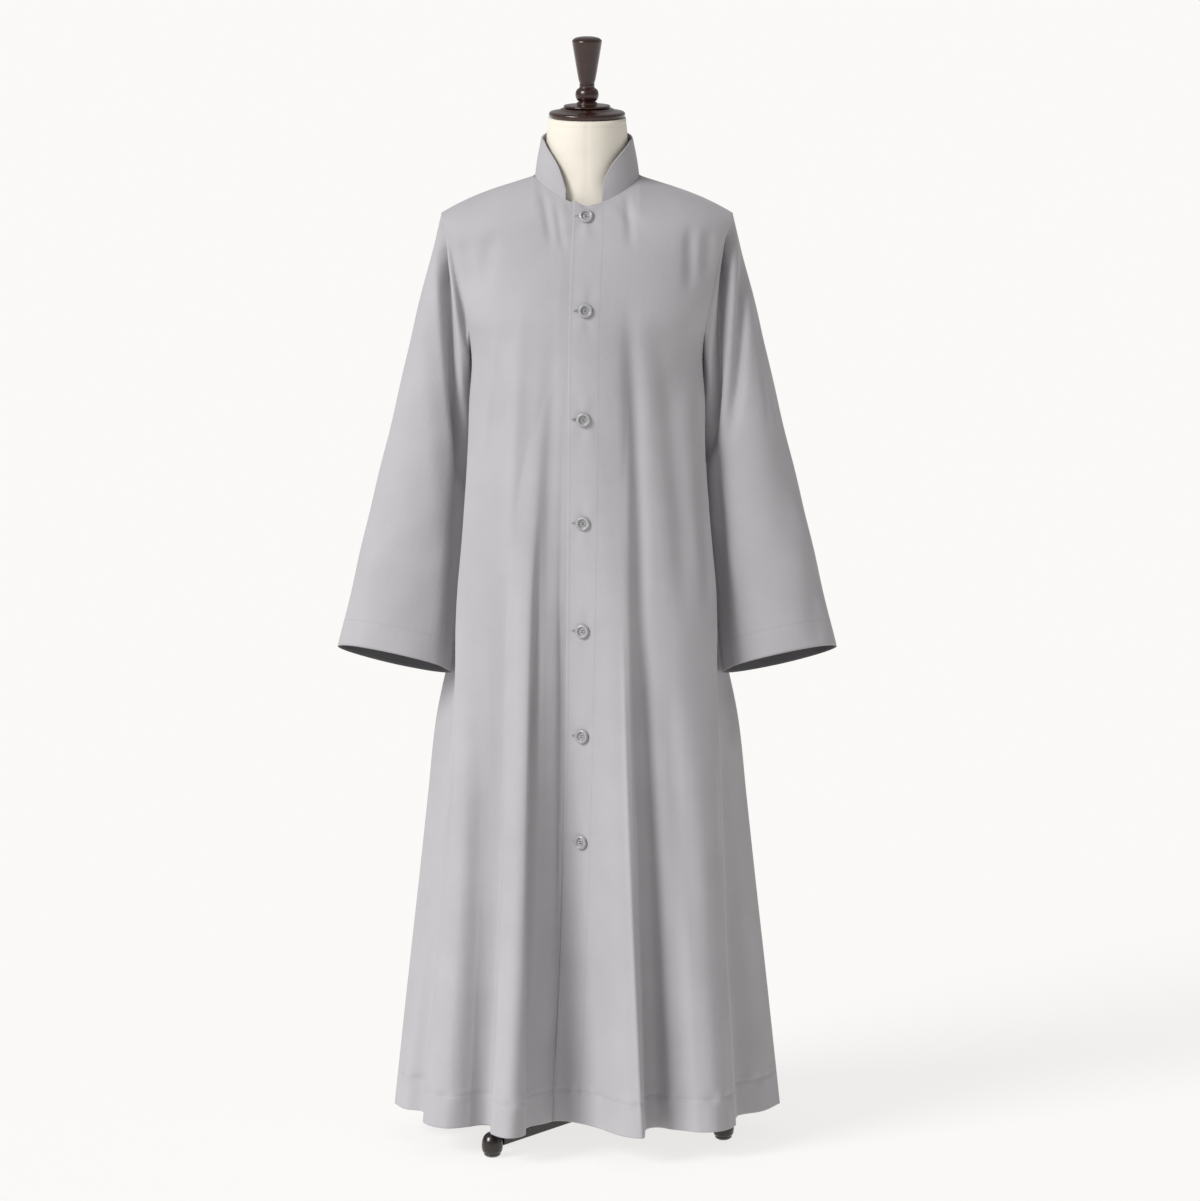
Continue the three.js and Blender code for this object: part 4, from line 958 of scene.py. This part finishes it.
# ---- Neck cap, finial and feet -----------------------------------------------------------------
# Turned hardwood, stained to a dark red mahogany and polished: a flat cap with a cove, a small
# baluster finial, and three onion feet with a groove.
CAP_PROFILE = table(
    "r z",
    (0.5, 1567), (55.5, 1567), (57.5, 1569.5), (57.5, 1573.5), (55.5, 1575.8), (50, 1576.8),
    (42, 1578.6), (36.5, 1582), (0.5, 1582))
FINIAL_PROFILE = table(
    "r z",
    (0.5, 1582.4), (35, 1582.4), (35.4, 1584.2), (34, 1585.8), (16, 1586.6), (15.8, 1589.6),
    (12.2, 1591), (16.2, 1594.4), (18, 1601.5), (16.2, 1608.6), (11, 1612.4), (11.6, 1615.6),
    (11, 1618.6), (13, 1624), (22.4, 1680), (22.6, 1683), (19, 1686.6), (11, 1688.6), (0.5, 1689))
FOOT_PROFILE = table(
    "r z",
    (0.5, 0), (8, 0), (12.4, 3.4), (13, 5), (12.6, 6), (13.4, 7), (15.2, 9.5), (16.5, 17),
    (15.6, 26), (12.6, 33), (7, 37.8), (0.5, 39))
FOOT_REACH, FOOT_ANGLES = 213.5, (-132.4, -12.4, 107.6)


def turned(profile, centre=(0, 0)):
    """A profile with its corners cut three times by a fifth, turned about an upright axis."""
    line = np.stack([profile["r"], profile["z"]], -1)
    for _ in range(3):
        near, far = line[:-1] * 0.8 + line[1:] * 0.2, line[:-1] * 0.2 + line[1:] * 0.8
        line = np.concatenate([line[:1], np.stack([near, far], 1).reshape(-1, 2), line[-1:]])
    turn = np.linspace(0, 2 * np.pi, 72, endpoint=False)
    x, y = line[:, :1] * np.cos(turn) + centre[0], line[:, :1] * np.sin(turn) + centre[1]
    return np.stack([x, y, line[:, 1:] + 0 * x], -1)


def mahogany_material(name, light, dark, coat):
    """Red-brown hardwood under a polished lacquer: long grain along Z, sharp reflections."""
    material, tree = blank_material(name)
    place = add_node(tree, "ShaderNodeTexCoord")
    long = add_node(tree, "ShaderNodeMapping", None, {"Scale": (1.0, 1.0, 0.12)},
                    {"Vector": place.outputs["Object"]})
    grain = add_node(tree, "ShaderNodeTexNoise", None, {"Scale": 260.0, "Detail": 6.0,
                                                        "Distortion": 0.6},
                     {"Vector": long.outputs["Vector"]})
    tint = add_node(tree, "ShaderNodeValToRGB", None, None, {"Fac": grain.outputs["Fac"]})
    set_ramp(tint, (0.3, srgb(dark)), (0.7, srgb(light)))
    rough = add_node(tree, "ShaderNodeMapRange", None, {"To Min": 0.2, "To Max": 0.34},
                     {"Value": grain.outputs["Fac"]})
    wood = add_node(tree, "ShaderNodeBsdfPrincipled", None,
                    {"IOR": 1.5, "Coat Weight": coat, "Coat Roughness": 0.08},
                    {"Base Color": tint.outputs["Color"], "Roughness": rough.outputs["Result"]})
    add_node(tree, "ShaderNodeOutputMaterial", None, None, {"Surface": wood.outputs["BSDF"]})
    return material


MAHOGANY = mahogany_material("polished_mahogany", "34150a", "200b04", 0.35)
DARK_STAIN = mahogany_material("black_brown_stain", "221611", "120d0a", 0.3)
places = {"neck_cap": (CAP_PROFILE, (0, 0), MAHOGANY), "finial": (FINIAL_PROFILE, (0, 0), MAHOGANY)}
for i, angle in enumerate(np.radians(FOOT_ANGLES)):
    centre = (FOOT_REACH * np.cos(angle), FOOT_REACH * np.sin(angle))
    places[f"foot_{i + 1}"] = (FOOT_PROFILE, centre, DARK_STAIN)
for node, (profile, centre, material) in places.items():
    piece = join_meshes(node + "_turned", [turned(profile, centre)], material)
    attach(piece, "root")
    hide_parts(node)
for node in ("form_base", "pole", "hub", "leg_1", "leg_2", "leg_3"):
    for part in bpy.data.objects:
        if part.type == "MESH" and part.name.split(".")[0] == node:
            part.data.materials.clear()
            part.data.materials.append(DARK_STAIN)

# ---- Floor, lights and camera ------------------------------------------------------------------
# A pale seamless floor, a broad soft key from the viewer's left, and even light all round.
FLOOR_HALF = 60
floor_mesh = bpy.data.meshes.new("floor")
floor_mesh.from_pydata([(x * FLOOR_HALF, y * FLOOR_HALF, 0)
                        for x, y in ((-1, -1), (1, -1), (1, 1), (-1, 1))], [], [(0, 1, 2, 3)])
floor = add_object("floor", floor_mesh)
pale, pale_tree = blank_material("lit_studio_floor")
paint = add_node(pale_tree, "ShaderNodeBsdfPrincipled", None,
                 {"Base Color": srgb("7c7b7a"), "Roughness": 1.0, "Specular IOR Level": 0.0,
                  "Emission Color": srgb("fffefc"), "Emission Strength": 0.778})
add_node(pale_tree, "ShaderNodeOutputMaterial", None, None, {"Surface": paint.outputs["BSDF"]})
floor_mesh.materials.append(pale)

world = bpy.data.worlds.new("studio")
bpy.context.scene.world = world
world.use_nodes = True
world.node_tree.nodes["Background"].inputs["Color"].default_value = (1, 0.995, 0.99, 1)
world.node_tree.nodes["Background"].inputs["Strength"].default_value = 0.4

key = bpy.data.lights.new("key", "SUN")
key.energy, key.angle = 2.85, np.radians(26)
lamp = add_object("key", key)
lamp.rotation_euler = Vector((0.66, 0.5, -0.56)).to_track_quat("-Z", "Y").to_euler()

camera_data = bpy.data.cameras.new("camera")
camera_data.lens, camera_data.sensor_width = 240.2, 36
camera_data.sensor_fit = "HORIZONTAL"
camera_data.clip_end = 200
camera = add_object("camera", camera_data)
camera.location = (0.0195, -12.0, 2.870)
camera.rotation_euler = (np.radians(90 - 9.65), 0, 0)
bpy.context.scene.camera = camera
bpy.context.scene.view_settings.view_transform = "Standard"
